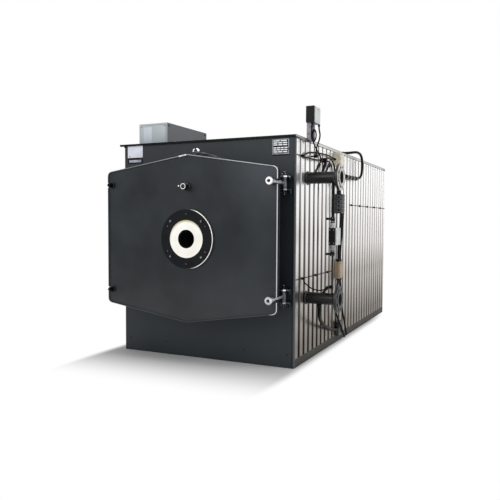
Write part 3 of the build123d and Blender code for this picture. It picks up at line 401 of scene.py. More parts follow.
# Pressure shell, door drum and pipes: rolled steel under black heat-resistant paint.
# The pipes shine a little more, and the hinge lugs and the coil's supports have the same paint.
black_paint = finish(
    "black_heat_paint", (10, 11, 13), (22, 23, 26),
    polish=(0.3, 0.5), drift=6, grain=(350, 0.4), shine=0.4,
)
coat(black_paint, "front_ring", "outer_shell", "door_drum")
pipe_paint = finish(
    "pipe_paint", (9, 10, 12), (20, 21, 24),
    polish=(0.22, 0.4), drift=14, grain=(350, 0.5), shine=0.3,
)
coat(black_paint, "hinge_brackets", "coil_supports", "sensor_pockets")
coat(pipe_paint, "flow_pipe", "return_pipe")

# Side sheets: bright rolled aluminium with broad outer flats and narrow grooves.
# Painted shade lies in the grooves and on their flanks, and on one side of each crest low down at the front.
# A painted reflection of the floor makes the sheet darker and warmer towards the bottom.
bright_sheet = finish(
    "bright_side_sheet", (246, 245, 243), (255, 255, 254),
    metal=1, polish=(0.26, 0.4), drift=3, grain=(90, 0.06),
)
streaks = bright_sheet.node_tree.nodes["Noise Texture"]
stretch = bright_sheet.node_tree.nodes.new("ShaderNodeMapping")
stretch.inputs["Scale"].default_value = (40, 40, 1.2)
sheet_links = bright_sheet.node_tree.links
sheet_links.new(streaks.inputs["Vector"].links[0].from_socket, stretch.inputs["Vector"])
sheet_links.new(stretch.outputs["Vector"], streaks.inputs["Vector"])
sheet_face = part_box("cladding_right")[1][0]
FIRST_GROOVE, CREST_STEP = -1.392, 0.1044
FIRST_CREST = FIRST_GROOVE - CREST_STEP / 2
far_crest = (0, FIRST_CREST - 100 * CREST_STEP, 0)
behind = (0, 2, 0)
depth = measure(bright_sheet, ACROSS)
flank_shade = mask(bright_sheet, depth, sheet_face - 0.0008, sheet_face - 0.005)
groove_shade = mask(bright_sheet, depth, sheet_face - 0.012, sheet_face - 0.02)
# Painted shade on the groove flanks and darker painted shade in the grooves.
cover(bright_sheet, flank_shade, (124, 120, 123))
cover(bright_sheet, groove_shade, (84, 82, 84))
floor_height = measure(bright_sheet, UP)
crest_place = measure(bright_sheet, ALONG, far_crest)
from_crest = bright_sheet.node_tree.nodes.new("ShaderNodeMath")
from_crest.operation = "PINGPONG"
from_crest.inputs[1].default_value = CREST_STEP / 2
sheet_links.new(crest_place, from_crest.inputs[0])
crest_side = mask(bright_sheet, from_crest.outputs["Value"], 0.018, 0.03)
from_rear = measure(bright_sheet, ALONG, behind)
low_down = mask(bright_sheet, floor_height, 1.4, 1.0)
far_front = mask(bright_sheet, from_rear, 1.6, 3.0)
low_front = combined(bright_sheet, "MULTIPLY", low_down, far_front)
crest_side_shade = combined(bright_sheet, "MULTIPLY", crest_side, low_front)
# Painted shade on one side of each crest, low down and towards the front.
cover(bright_sheet, crest_side_shade, (176, 174, 176), blend="MULTIPLY")
# Painted reflection of the floor: darker and warmer towards the bottom.
for start, end, colour in (
    (1.35, 0.85, (232, 229, 226)),
    (0.85, 0.6, (196, 192, 188)),
    (0.5, 0.15, (156, 149, 140)),
):
    cover(bright_sheet, mask(bright_sheet, floor_height, start, end), colour, blend="MULTIPLY")
coat(bright_sheet, "cladding_right", "cladding_left")

# Roof: a painted steel lid with aluminium trims folded over both long edges. Each trim has a line of painted
# shade above and below its web. The front hem is black.
trim_metal = finish(
    "trim_aluminium", (176, 176, 176), (206, 206, 206),
    metal=1, polish=(0.3, 0.45), drift=3, grain=(300, 0.2),
)
trim_low, trim_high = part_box("roof_trims")
trim_height = measure(trim_metal, UP)
lower_shade_line = mask(trim_metal, trim_height, trim_low[2] + 0.005, trim_low[2] + 0.003)
upper_shade_line = mask(trim_metal, trim_height, trim_high[2] - 0.005, trim_high[2] - 0.003)
# Painted shade lines below and above the trim's web.
cover(trim_metal, lower_shade_line, (34, 32, 32), metal=0.2)
cover(trim_metal, upper_shade_line, (50, 47, 46), metal=0.2)
trim_run = measure(trim_metal, ALONG)
near_front = mask(trim_metal, trim_run, 1.28, 1.45)
below_top = mask(trim_metal, trim_height, trim_high[2] - 0.010, trim_high[2] - 0.014)
front_seam = combined(trim_metal, "MULTIPLY", near_front, below_top)
cover(trim_metal, front_seam, (20, 20, 22), metal=0.2, rough=0.4)
roof_paint = finish(
    "roof_coat", (28, 32, 35), (38, 43, 46),
    polish=(0.4, 0.55), drift=2, grain=(260, 0.5), shine=0.1,
)
roof_run = measure(roof_paint, ALONG)
front_hem = mask(roof_paint, roof_run, -panel_low[1] + 0.002, -panel_low[1] + 0.004)
cover(roof_paint, front_hem, (10, 12, 15), metal=0, rough=0.35)
coat(roof_paint, "roof_panel")
coat(trim_metal, "roof_trims")

# Bolts, nuts and lugs of the door: zinc plated nuts, bolts of bare machined steel and darker forked lugs.
# The lugs' front edges, the clamp bolt shanks and the hinge bolts carry painted highlights, the blind bores
# in the clamp nuts are painted black as shade, and the lifting eye has two painted highlights.
zinc = finish(
    "zinc_plate", (190, 190, 186), (226, 226, 224),
    metal=1, polish=(0.2, 0.38), drift=30, grain=(400, 0.2),
)
nut_zinc = finish(
    "clamp_nut_zinc", (176, 176, 182), (226, 226, 230),
    metal=1, polish=(0.22, 0.36), drift=30, grain=(400, 0.2),
)
# Painted shade: the blind bores of the clamp nuts are made black.
for name in ("clamp_nut_upper", "clamp_nut_lower"):
    bore_place = measure(nut_zinc, FACING, middle_of(name))
    cover(nut_zinc, mask(nut_zinc, bore_place, 0.0118, 0.0108), (8, 8, 8), metal=0, rough=0.8)
dull_steel = finish(
    "dull_steel", (58, 60, 64), (128, 132, 136),
    metal=1, polish=(0.32, 0.5), drift=26, grain=(400, 0.3),
)
eye_glint_steel = finish(
    "eye_glint_steel", (6, 6, 8), (84, 84, 88),
    metal=1, polish=(0.25, 0.5), drift=48, grain=(400, 0.4),
)
eye_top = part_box("lifting_eye")[1][2]
eye_x = middle_of("lifting_eye")[0]
# Two painted highlights on the top of the lifting eye.
for spot_x, spot_z in ((eye_x - 0.020, eye_top - 0.018), (eye_x + 0.018, eye_top - 0.016)):
    eye_glint_place = measure(eye_glint_steel, FACING, (spot_x, 0, spot_z))
    cover(eye_glint_steel, mask(eye_glint_steel, eye_glint_place, 0.017, 0.011), (244, 244, 246), metal=1, rough=0.3)
stud_steel = finish(
    "burner_stud_steel", (70, 70, 71), (148, 148, 147),
    metal=1, polish=(0.35, 0.5), drift=40, grain=(400, 0.3),
)
bolt_steel = finish(
    "bolt_steel", (26, 27, 31), (108, 108, 114),
    metal=1, polish=(0.25, 0.42), drift=18, grain=(400, 0.3),
)
bolt_run = measure(bolt_steel, ALONG)
barrel_front = -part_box("clamp_brackets")[0][1]
# Painted highlight along the front of each clamp bolt's shank.
shank_highlight = mask(bolt_steel, bolt_run, barrel_front - 0.004, barrel_front)
cover(bolt_steel, shank_highlight, (196, 194, 200), metal=1, rough=0.28)
coat(nut_zinc, "clamp_nut_lower", "clamp_nut_upper")
coat(eye_glint_steel, "lifting_eye")
coat(stud_steel, "burner_studs")
coat(bolt_steel, "clamp_bolt_lower", "clamp_bolt_upper")
hinge_steel = finish(
    "hinge_bolt_steel", (16, 17, 19), (44, 45, 48),
    metal=1, polish=(0.25, 0.42), drift=18, grain=(400, 0.3),
)
coat(hinge_steel, "hinge_nuts")
hinge_shank = finish(
    "hinge_shank_steel", (30, 31, 34), (84, 86, 90),
    metal=1, polish=(0.3, 0.45), drift=18, grain=(400, 0.3),
)
hinge_level = measure(hinge_shank, UP)
upper_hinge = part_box("hinge_bolts")[1][2]
# Painted highlight on the hinge bolts near the top.
hinge_top_highlight = mask(hinge_shank, hinge_level, upper_hinge - 0.030, upper_hinge - 0.026)
cover(hinge_shank, hinge_top_highlight, (236, 236, 240), metal=1, rough=0.3)
coat(hinge_shank, "hinge_bolts")
bracket_steel = finish(
    "bracket_steel", (24, 26, 30), (66, 70, 74),
    metal=1, polish=(0.3, 0.5), drift=24, grain=(400, 0.3),
)
edge_side = measure(bracket_steel, ALONG, source="Normal")
edge_level = measure(bracket_steel, UP)
faces_front = mask(bracket_steel, edge_side, 0.3, 0.6)
LUG_RISE, LUG_HALF = 0.0465, 0.005
BOLT_LEVELS = [middle_of(name)[2] for name in ("clamp_nut_lower", "clamp_nut_upper")]
# Painted highlights on the lugs' front edges, brighter on the upper lug of each pair.
for bolt_level in BOLT_LEVELS:
    for lug_level, lug_highlight_tone in (
        (bolt_level - LUG_RISE, (150, 156, 158)),
        (bolt_level + LUG_RISE, (240, 244, 245)),
    ):
        lug_base, lug_top = lug_level - LUG_HALF, lug_level + LUG_HALF
        over_base = mask(bracket_steel, edge_level, lug_base - 0.0002, lug_base + 0.0002)
        under_top = mask(bracket_steel, edge_level, lug_top + 0.0002, lug_top - 0.0002)
        lug_band = combined(bracket_steel, "MULTIPLY", over_base, under_top)
        lug_edge_highlight = combined(bracket_steel, "MULTIPLY", lug_band, faces_front)
        cover(bracket_steel, lug_edge_highlight, lug_highlight_tone, metal=1, rough=0.3)
coat(bracket_steel, "clamp_brackets")

# Flanges: turned steel, faces machined bright with a shallow step, backs and rims under the pipe's paint.
# Painted shade marks the step and widens the dark bore.
# The upper one is cleaner, the lower one is grey-green with old paint.
for name, low_tone, high_tone, bore_shade_edge in (
    ("flow_flange", (140, 134, 126), (220, 218, 212), 0.047),
    ("return_flange", (16, 19, 18), (60, 66, 63), 0.050),
):
    flange_steel = finish(
        name + "_steel", low_tone, high_tone,
        metal=1, polish=(0.3, 0.5), drift=22, grain=(500, 0.4),
    )
    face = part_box(name)[1][0]
    reach = measure(flange_steel, ACROSS)
    back = mask(flange_steel, reach, face - 0.0042, face - 0.0048)
    cover(flange_steel, back, (14, 15, 17), metal=0, rough=0.4)
    radius = measure(flange_steel, (0, 1, 1), middle_of(name))
    inner_edge = mask(flange_steel, radius, 0.0675, 0.069)
    outer_edge = mask(flange_steel, radius, 0.0735, 0.072)
    step_shade_band = combined(flange_steel, "MULTIPLY", inner_edge, outer_edge)
    bore_shade = mask(flange_steel, radius, bore_shade_edge + 0.001, bore_shade_edge)
    # Painted shade at the step of the raised face and round the bore.
    cover(flange_steel, step_shade_band, (30, 30, 30), metal=0.4, rough=0.5)
    cover(flange_steel, bore_shade, (10, 11, 11), metal=0, rough=0.7)
    coat(flange_steel, name)

# Furnace: a rolled steel coil, a closed end and the flue spigot welded to the shell's rear.
# All of it is bare steel with a brown-grey heat scale.
scaled_steel = finish(
    "furnace_steel", (70, 66, 62), (104, 98, 92),
    metal=1, polish=(0.45, 0.65), drift=5, grain=(200, 0.5),
)
coat(scaled_steel, "furnace_coil", "furnace_end", "flue_outlet")

# Burner place: black plate with a bare turned rim, and a near white ring whose bore is painted black as
# shade.
# A painted shadow of the plate's rim lies across the ring's top. Refractory and rope seal behind; the
# refractory's middle is painted black as shade.
axis_place = (0, 0, middle_of("burner_plate")[2])
plate_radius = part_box("burner_plate")[1][0]
plate_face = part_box("burner_plate")[0][1]
plate_black = finish(
    "burner_plate_black", (13, 14, 17), (24, 26, 29),
    polish=(0.4, 0.6), drift=12, grain=(350, 0.4), shine=0.12,
)
plate_rim = measure(plate_black, FACING, axis_place)
plate_depth = measure(plate_black, ALONG, (0, plate_face, 0))
on_rim = mask(plate_black, plate_rim, plate_radius - 0.001, plate_radius - 0.0006)
behind_face = mask(plate_black, plate_depth, 0.0002, 0.0004)
turned_rim = combined(plate_black, "MULTIPLY", on_rim, behind_face)
cover(plate_black, turned_rim, (248, 244, 240), metal=1, rough=0.25)
coat(plate_black, "burner_plate")
ring_white = finish(
    "ring_white", (240, 236, 226), (255, 254, 250),
    polish=(0.8, 0.95), drift=9, grain=(160, 0.8), shine=0.2,
)
ring_place = measure(ring_white, FACING, axis_place)
# Painted shade: the ring's bore is made black.
cover(ring_white, mask(ring_white, ring_place, 0.0695, 0.0685), (6, 6, 6), metal=0, rough=0.95)
ring_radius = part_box("burner_ring")[1][0]
shade_place = measure(ring_white, FACING, (0.003, 0, axis_place[2] - 0.014))
ring_top_painted_shadow = mask(ring_white, shade_place, ring_radius - 0.006, ring_radius + 0.012)
# Painted shadow of the plate's rim across the ring's top.
cover(ring_white, ring_top_painted_shadow, (176, 164, 118))
coat(ring_white, "burner_ring")
fire_clay = finish(
    "fire_clay", (206, 198, 180), (236, 230, 216),
    polish=(0.85, 0.98), drift=12, grain=(180, 1.0),
)
clay_place = measure(fire_clay, FACING, axis_place)
# Painted shade: the middle of the refractory is made black.
cover(fire_clay, mask(fire_clay, clay_place, 0.12, 0.09), (8, 8, 8), metal=0, rough=0.95)
rope = finish(
    "rope_seal", (196, 190, 176), (226, 222, 210),
    polish=(0.9, 1.0), drift=60, grain=(400, 1.0),
)
coat(fire_clay, "door_lining")
coat(rope, "door_seal")
dark_glass = finish(
    "sight_glass", (8, 10, 12), (14, 16, 18),
    polish=(0.05, 0.1), drift=10, grain=(50, 0.0),
)
coat(dark_glass, "sight_glass")
tube_paint = finish(
    "sight_tube_paint", (10, 11, 13), (26, 27, 30),
    polish=(0.25, 0.4), drift=30, grain=(400, 0.2), shine=0.6,
)
tube_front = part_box("sight_tube")[0][1]
tube_run = measure(tube_paint, ALONG)
tube_end = mask(tube_paint, tube_run, -tube_front - 0.004, -tube_front - 0.003)
cover(tube_paint, tube_end, (235, 238, 236), metal=1, rough=0.3)
tube_middle = middle_of("sight_tube")
tube_reach = measure(tube_paint, FACING, tube_middle)
cover(tube_paint, mask(tube_paint, tube_reach, 0.0202, 0.0212), (14, 15, 17), metal=0, rough=0.4)
# Painted highlight along the top of the sight tube behind its front ring.
tube_level = measure(tube_paint, UP)
on_top = mask(tube_paint, tube_level, tube_middle[2] + 0.015, tube_middle[2] + 0.019)
past_end = mask(tube_paint, tube_run, -tube_front - 0.005, -tube_front - 0.008)
tube_top_highlight = combined(tube_paint, "MULTIPLY", on_top, past_end)
cover(tube_paint, tube_top_highlight, (166, 170, 172), metal=0, rough=0.35)
coat(tube_paint, "sight_tube")

# Control box: a folded steel housing on the roof, dark grey with a pale blue-grey front.
# Its lid is added further down.
box_paint = finish(
    "control_box_paint", (76, 79, 82), (93, 96, 99),
    polish=(0.35, 0.5), drift=2, grain=(300, 0.3), shine=0.4,
)
box_front = measure(box_paint, ALONG, source="Normal")
cover(box_paint, mask(box_paint, box_front, 0.5, 0.9), (174, 183, 184))
coat(box_paint, "control_box")

# Thermostat, boxes and pressure switch: moulded plastic on a zinc plated bracket and cast ports.
# The upper junction box is cream and the lower one browner. The impulse line is black too.
plate_zinc = finish(
    "bracket_zinc", (70, 66, 72), (132, 128, 134),
    metal=1, polish=(0.35, 0.55), drift=22, grain=(300, 0.4),
)
coat(plate_zinc, "thermostat_bracket")
black_plastic = finish(
    "black_plastic", (8, 9, 11), (18, 19, 22),
    polish=(0.3, 0.45), drift=20, grain=(500, 0.2), shine=0.12,
)
coat(black_plastic, "thermostat_cover", "switch_cover", "isolation_valves", "impulse_lines")
grey_plastic = finish(
    "grey_plastic", (36, 38, 40), (54, 56, 58),
    polish=(0.35, 0.5), drift=10, grain=(400, 0.2), shine=0.3,
)
coat(grey_plastic, "terminal_box")
block_plastic = finish(
    "drain_block_grey", (36, 37, 38), (84, 84, 82),
    polish=(0.4, 0.6), drift=30, grain=(300, 0.6), shine=0.3,
)
coat(block_plastic, "drain_block")
cream_plastic = finish(
    "cream_plastic", (168, 161, 140), (204, 198, 184),
    polish=(0.4, 0.55), drift=24, grain=(400, 0.3), shine=0.4,
)
box_height = measure(cream_plastic, UP)
cover(cream_plastic, mask(cream_plastic, box_height, 1.0, 0.9), (134, 119, 98))
coat(cream_plastic, "junction_boxes")
light_plastic = finish(
    "light_plastic", (158, 163, 162), (182, 186, 185),
    polish=(0.35, 0.5), drift=10, grain=(400, 0.2),
)
coat(light_plastic, "switch_body", "thermostat_box")
cast_metal = finish(
    "cast_aluminium", (120, 122, 124), (154, 156, 158),
    metal=1, polish=(0.35, 0.55), drift=12, grain=(300, 0.5),
)
coat(cast_metal, "switch_ports")

# Bare plates on the front panel: a pale badge blank over a dark strip, and a rating plate with empty fields.
# Each is a thin sheet with softened edges, stuck to the paint.
PANEL_FACE = panel_low[1]


def block(shape, low, high):
    """Box between two corners."""
    size = Vector(high) - Vector(low)
    middle = Matrix.Translation((Vector(high) + Vector(low)) / 2)
    bmesh.ops.create_cube(shape, size=1, matrix=middle @ Matrix.Diagonal((*size, 1)))


def rod(shape, start, end, radius, sides=20, end_radius=None):
    """Round or many-sided bar, or a cone, from one point to another."""
    start, end = Vector(start), Vector(end)
    turn = (end - start).to_track_quat("Z", "Y").to_matrix().to_4x4()
    far_radius = radius if end_radius is None else end_radius
    place = Matrix.Translation((start + end) / 2) @ turn
    length = (end - start).length
    bmesh.ops.create_cone(
        shape, cap_ends=True, segments=sides, radius1=radius, radius2=far_radius, depth=length, matrix=place
    )


def add_piece(name, shape, material, soften=0.0, body="casing"):
    """Make a mesh of the shape, with softened edges, and let it ride on a body."""
    if soften:
        edges = [edge for edge in shape.edges if edge.calc_face_angle(0) > radians(50)]
        bmesh.ops.bevel(
            shape, geom=edges, offset=soften, segments=2, profile=0.5, affect="EDGES", material=-1
        )
    bmesh.ops.recalc_face_normals(shape, faces=shape.faces)
    mesh = bpy.data.meshes.new(name)
    shape.to_mesh(mesh)
    shape.free()
    mesh.materials.append(material)
    mesh.shade_smooth()
    mesh.set_sharp_from_angle(angle=radians(35))
    piece = bpy.data.objects.new(name, mesh)
    bpy.context.collection.objects.link(piece)
    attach(piece, body)


def thin_plate(name, low, high, material, soften=0.0):
    """A plate of the casing, between two corners."""
    shape = bmesh.new()
    block(shape, low, high)
    add_piece(name, shape, material, soften)


plate_white = finish(
    "badge_enamel", (206, 208, 222), (222, 224, 236),
    polish=(0.3, 0.4), drift=12, grain=(300, 0.1),
)
field_white = finish(
    "rating_field", (236, 238, 244), (250, 251, 254),
    polish=(0.3, 0.4), drift=12, grain=(300, 0.1),
)
plate_grey = finish(
    "rating_plate_sheet", (120, 124, 136), (166, 170, 182),
    metal=0.6, polish=(0.35, 0.5), drift=16, grain=(300, 0.2),
)
badge_left, badge_right, badge_low, badge_high = -0.719, -0.571, 1.590, 1.698
plate_front = PANEL_FACE - 0.002
thin_plate(
    "badge_plate", (badge_left, plate_front, badge_low), (badge_right, PANEL_FACE, badge_high),
    plate_white, 0.0008,
)
strip_low, strip_high = 1.543, 1.588
thin_plate(
    "badge_strip", (badge_left, plate_front, strip_low), (badge_right, PANEL_FACE, strip_high),
    black_plastic, 0.0008,
)
field_left, field_right, field_low, field_high = badge_left + 0.014, badge_right - 0.014, 1.552, 1.572
thin_plate(
    "badge_strip_field",
    (field_left, PANEL_FACE - 0.0028, field_low),
    (field_right, PANEL_FACE - 0.0018, field_high),
    plate_grey,
)

rating_left, rating_right, rating_low, rating_high = 0.572, 0.704, 1.563, 1.673
thin_plate(
    "rating_plate", (rating_left, plate_front, rating_low), (rating_right, PANEL_FACE, rating_high),
    plate_grey, 0.0008,
)
# A black sheet under the rating plate's lower and right edges is a painted shadow.
thin_plate(
    "rating_plate_painted_shadow",
    (rating_left + 0.002, PANEL_FACE - 0.0012, rating_low - 0.008),
    (rating_right + 0.003, PANEL_FACE, rating_high),
    black_plastic, 0.0005,
)
thin_plate(
    "rating_plate_ground",
    (rating_left + 0.005, PANEL_FACE - 0.0025, rating_low + 0.010),
    (rating_right - 0.006, PANEL_FACE - 0.0018, rating_high - 0.005),
    black_plastic,
)
shape = bmesh.new()
fields_in_row = (3, 4, 4, 3, 3, 2)
row_height = (rating_high - rating_low - 0.022) / len(fields_in_row)
for row, fields in enumerate(fields_in_row):
    field_step = (rating_right - rating_left - 0.018) / fields
    base = rating_low + 0.0145 + row * row_height + (0.006 if row > 2 else 0)
    top = min(base + row_height * 0.55, rating_high - 0.009)
    for column in range(fields):
        left = rating_left + 0.01 + column * field_step
        block(shape, (left, PANEL_FACE - 0.003, base), (left + field_step * 0.84, PANEL_FACE - 0.0024, top))
add_piece("rating_plate_fields", shape, field_white)

# Door details: painted highlights on the folded edges along the top and on the right, a bright bead as a
# painted highlight near the apex, and a steel bead as a painted highlight on the drum's edge behind.
# Six dull screws fill the burner's outer bolt places, and one small screw stands left of the sight tube.
rivet_metal = finish(
    "rivet_aluminium", (96, 96, 98), (166, 166, 168),
    metal=1, polish=(0.3, 0.5), drift=60, grain=(400, 0.2),
)
edge_highlight_paint = finish(
    "door_edge_painted_highlight", (40, 44, 48), (58, 62, 66),
    polish=(0.3, 0.4), drift=6, grain=(300, 0.1), shine=0.4,
)
edge_height = measure(edge_highlight_paint, UP, (0, 0, -1))
edge_place = measure(edge_highlight_paint, ACROSS, (-2, 0, 0))
upper_edges = mask(edge_highlight_paint, edge_height, 2.40, 2.54)
right_edge = mask(edge_highlight_paint, edge_place, 2.66, 2.70)
off_corner = mask(edge_highlight_paint, edge_height, 1.33, 1.37)
toward_right = mask(edge_highlight_paint, edge_place, 2.2, 2.6)
bright_side = combined(edge_highlight_paint, "MULTIPLY", right_edge, off_corner)
bright_gable = combined(edge_highlight_paint, "MULTIPLY", upper_edges, toward_right)
# Painted highlights on the upper edges, brighter towards the right and on the right edge.
cover(edge_highlight_paint, upper_edges, (136, 140, 146), metal=0.8, rough=0.3)
bright_edges = combined(edge_highlight_paint, "MAXIMUM", bright_gable, bright_side)
cover(edge_highlight_paint, bright_edges, (196, 198, 204), metal=0.8, rough=0.3)


def bead(name, points, radius, material):
    """Rounded edge along a line on the door."""
    data = bpy.data.curves.new(name, "CURVE")
    data.dimensions = "3D"
    data.bevel_depth = radius
    data.bevel_resolution = 2
    line = data.splines.new("POLY")
    line.points.add(len(points) - 1)
    for point, place in zip(line.points, points):
        point.co = (*place, 1)
    data.materials.append(material)
    piece = bpy.data.objects.new(name, data)
    bpy.context.collection.objects.link(piece)
    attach(piece, "door")


door_low, door_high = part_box("door_plate")
door_side = door_high[0] - 0.003
door_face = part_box("burner_studs")[0][1] + 0.023
edge_y = door_face + 0.001
door_middle = (door_low[2] + door_high[2]) / 2
shoulder, apex, round_radius = 0.5075, 0.6190, 0.035
corners = [
    Vector((side * door_side, 0, door_middle + rise))
    for side, rise in ((1, -shoulder), (1, shoulder), (0, apex), (-1, shoulder), (-1, -shoulder), (0, -apex))
]
outline = []
for index, corner in enumerate(corners):
    before = (corners[index - 1] - corner).normalized()
    after = (corners[(index + 1) % len(corners)] - corner).normalized()
    half_angle = before.angle(after) / 2
    run = round_radius / abs(sin(half_angle) / cos(half_angle))
    start, end = corner + before * run, corner + after * run
    centre = corner + (before + after).normalized() * round_radius / sin(half_angle)
    for step in range(9):
        spoke = (start - centre).slerp(end - centre, step / 8).normalized() * round_radius
        outline.append((centre.x + spoke.x, edge_y, centre.z + spoke.z))
slot_half, edge_radius, apex_highlight_radius = 0.019, 0.0036, 0.0062
slot_low, slot_high = BOLT_LEVELS
below_low, above_low = slot_low - slot_half, slot_low + slot_half
below_high, above_high = slot_high - slot_half, slot_high + slot_half
over_top = [point for point in outline if point[2] > above_high]
under = [point for point in outline if point[2] < below_low]
split = next(index for index, point in enumerate(under) if point[0] < 0)
over_top = [(door_side, edge_y, above_high)] + over_top + [(-door_side, edge_y, above_high)]
under = [(-door_side, edge_y, below_low)] + under[split:] + under[:split] + [(door_side, edge_y, below_low)]
on_right = [(door_side, edge_y, z) for z in (above_low, below_high)]
on_left = [(-door_side, edge_y, z) for z in (below_high, above_low)]
for name, run in (("top", over_top), ("low", under), ("right", on_right), ("left", on_left)):
    bead("door_edge_" + name, run, edge_radius, edge_highlight_paint)
slope = (apex - shoulder) / door_side
# A zinc bead along the top edge near the apex is a painted highlight.
apex_highlight = [(x, edge_y, door_middle + apex + x * slope - 0.001) for x in (-0.066, -0.001)]
bead("door_edge_apex_highlight", apex_highlight, apex_highlight_radius, zinc)


def arc(radius, y, start, span, steps):
    """Points on an arc about the boiler's axis, from one angle over a span of degrees."""
    turns = [radians(start + span * step / steps) for step in range(steps + 1)]
    return [(radius * cos(turn), y, axis_place[2] + radius * sin(turn)) for turn in turns]


drum_low, drum_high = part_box("door_drum")
# A steel bead on the visible arc of the drum's edge is a painted highlight.
bead("drum_edge_highlight", arc(drum_high[0], drum_low[1] + 0.002, start=50, span=37, steps=32), 0.003, dull_steel)
bolt_circle, bolt_places = 0.185, 6
shape = bmesh.new()
for x, y, z in arc(bolt_circle, plate_face, start=90, span=300, steps=bolt_places - 1):
    rod(shape, (x, y - 0.002, z), (x, y + 0.006, z), 0.0040, 12)
add_piece("burner_screws", shape, stud_steel, 0.0008, body="door")
rim_highlight_paint = finish(
    "turned_rim", (40, 40, 42), (52, 52, 54),
    polish=(0.35, 0.5), drift=8, grain=(300, 0.1), shine=0.3,
)
# Painted highlight on the right part of the burner plate's rim bead.
rim_side = measure(rim_highlight_paint, ACROSS, (-1, 0, 0))
cover(rim_highlight_paint, mask(rim_highlight_paint, rim_side, 1.03, 1.1), (250, 246, 242), metal=0.6, rough=0.3)
rim = arc(plate_radius + 0.0015, plate_face + 0.002, start=-90, span=180, steps=64)
bead("burner_plate_rim", rim, 0.0034, rim_highlight_paint)
shape = bmesh.new()
screw_x, screw_z = -0.068, 1.334
rod(shape, (screw_x, door_face - 0.007, screw_z), (screw_x, door_face + 0.004, screw_z), 0.0065, 6)
add_piece("sight_tube_screw", shape, zinc, 0.0008, body="door")
shape = bmesh.new()
sight_x, _, sight_z = tube_middle
rod(shape, (sight_x, door_face + 0.002, sight_z), (sight_x, door_face - 0.006, sight_z), 0.031, 32, 0.026)
add_piece("sight_tube_weld", shape, black_paint, 0.001, body="door")
shape = bmesh.new()
# A light metal rod along the sight tube's top is a painted highlight.
glint_reach, glint_turn = 0.0245, radians(62)
glint_x, glint_z = sight_x + glint_reach * cos(glint_turn), sight_z + glint_reach * sin(glint_turn)
rod(shape, (glint_x, tube_front + 0.006, glint_z), (glint_x, door_face - 0.002, glint_z), 0.0030, 12)
add_piece("sight_tube_highlight", shape, rivet_metal, body="door")

# Clamp and hinge pins: steel pins through the lugs, whose round ends show above and below them.
# Each end has a washer and is held by a zinc plated split pin.
pin_side, pin_y = 0.687, PANEL_FACE - 0.05
for x, name, pin_steel in ((pin_side, "clamp", bolt_steel), (-pin_side, "hinge", hinge_steel)):
    shape = bmesh.new()
    pins = bmesh.new()
    for level in BOLT_LEVELS:
        for way in (-1, 1):
            washer = [(x, pin_y, level + way * rise) for rise in (0.0515, 0.0555)]
            head = [(x, pin_y, level + way * rise) for rise in (0.0775, 0.0845)]
            split_pin = [(x + reach, pin_y, level + way * 0.066) for reach in (-0.019, 0.019)]
            rod(shape, *washer, 0.018, 24)
            rod(shape, *head, 0.0125, 20, 0.009)
            rod(pins, *split_pin, 0.0022, 10)
    add_piece(name + "_pin_washers", shape, pin_steel, 0.001)
    add_piece(name + "_split_pins", pins, zinc)

# Pipe ends: a black rosette closes the hole where each pipe leaves the sheet.
# A bare weld joins the pipe to its flange.
shape = bmesh.new()
welds = bmesh.new()
for name in ("flow_flange", "return_flange"):
    flange_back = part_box(name)[0][0]
    _, pipe_y, z = middle_of(name)
    rod(shape, (sheet_face - 0.004, pipe_y, z), (sheet_face + 0.003, pipe_y, z), 0.053, 48)
    rod(shape, (sheet_face + 0.003, pipe_y, z), (sheet_face + 0.009, pipe_y, z), 0.0505, 48, 0.046)
    rod(welds, (flange_back - 0.004, pipe_y, z), (flange_back + 0.003, pipe_y, z), 0.0455, 40, 0.052)
add_piece("pipe_rosettes", shape, black_paint, 0.001)
add_piece("flange_welds", welds, dull_steel)

# Side sheets and panels: domed rivets at the top and bottom of each outer flat, pan screws on the front and
# rear panels, screws along the roof and a clip on its front edge.
crest_count, rivet_levels = 28, (0.088, 1.652)
for side, name in ((1, "right"), (-1, "left")):
    shape = bmesh.new()
    face = side * sheet_face
    for index in range(crest_count):
        y = FIRST_CREST + index * CREST_STEP
        for z in rivet_levels:
            rod(shape, (face, y, z), (face + side * 0.0016, y, z), 0.0045, 12, 0.003)
    add_piece(name + "_sheet_rivets", shape, rivet_metal)
shape = bmesh.new()
rear_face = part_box("rear_panel")[1][1]
outer_x, low_row, top_row = 0.70, 0.10, 1.60
for x in (-outer_x, -outer_x / 2, outer_x / 2, outer_x):
    for z in (low_row, 0.85, top_row):
        if z == low_row or z == top_row and abs(x) == outer_x:
            rod(shape, (x, PANEL_FACE, z), (x, PANEL_FACE - 0.003, z), 0.006, 12, 0.004)
        rod(shape, (x, rear_face, z), (x, rear_face + 0.003, z), 0.006, 12, 0.004)
add_piece("panel_screws", shape, hinge_steel)
shape = bmesh.new()
roof_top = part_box("roof_panel")[1][2]
first_screw, screw_step, screw_rows = -1.40, 0.35, 9
for x in (-0.715, 0.715):
    for row in range(screw_rows):
        y = first_screw + row * screw_step
        rod(shape, (x, y, roof_top), (x, y, roof_top + 0.003), 0.006, 12, 0.004)
add_piece("roof_screws", shape, zinc)
roof_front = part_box("roof_panel")[0][1] + 0.001
thin_plate(
    "roof_edge_clip", (-0.272, roof_front, roof_top - 0.004), (-0.250, -1.49, roof_top + 0.003),
    dull_steel, 0.001,
)

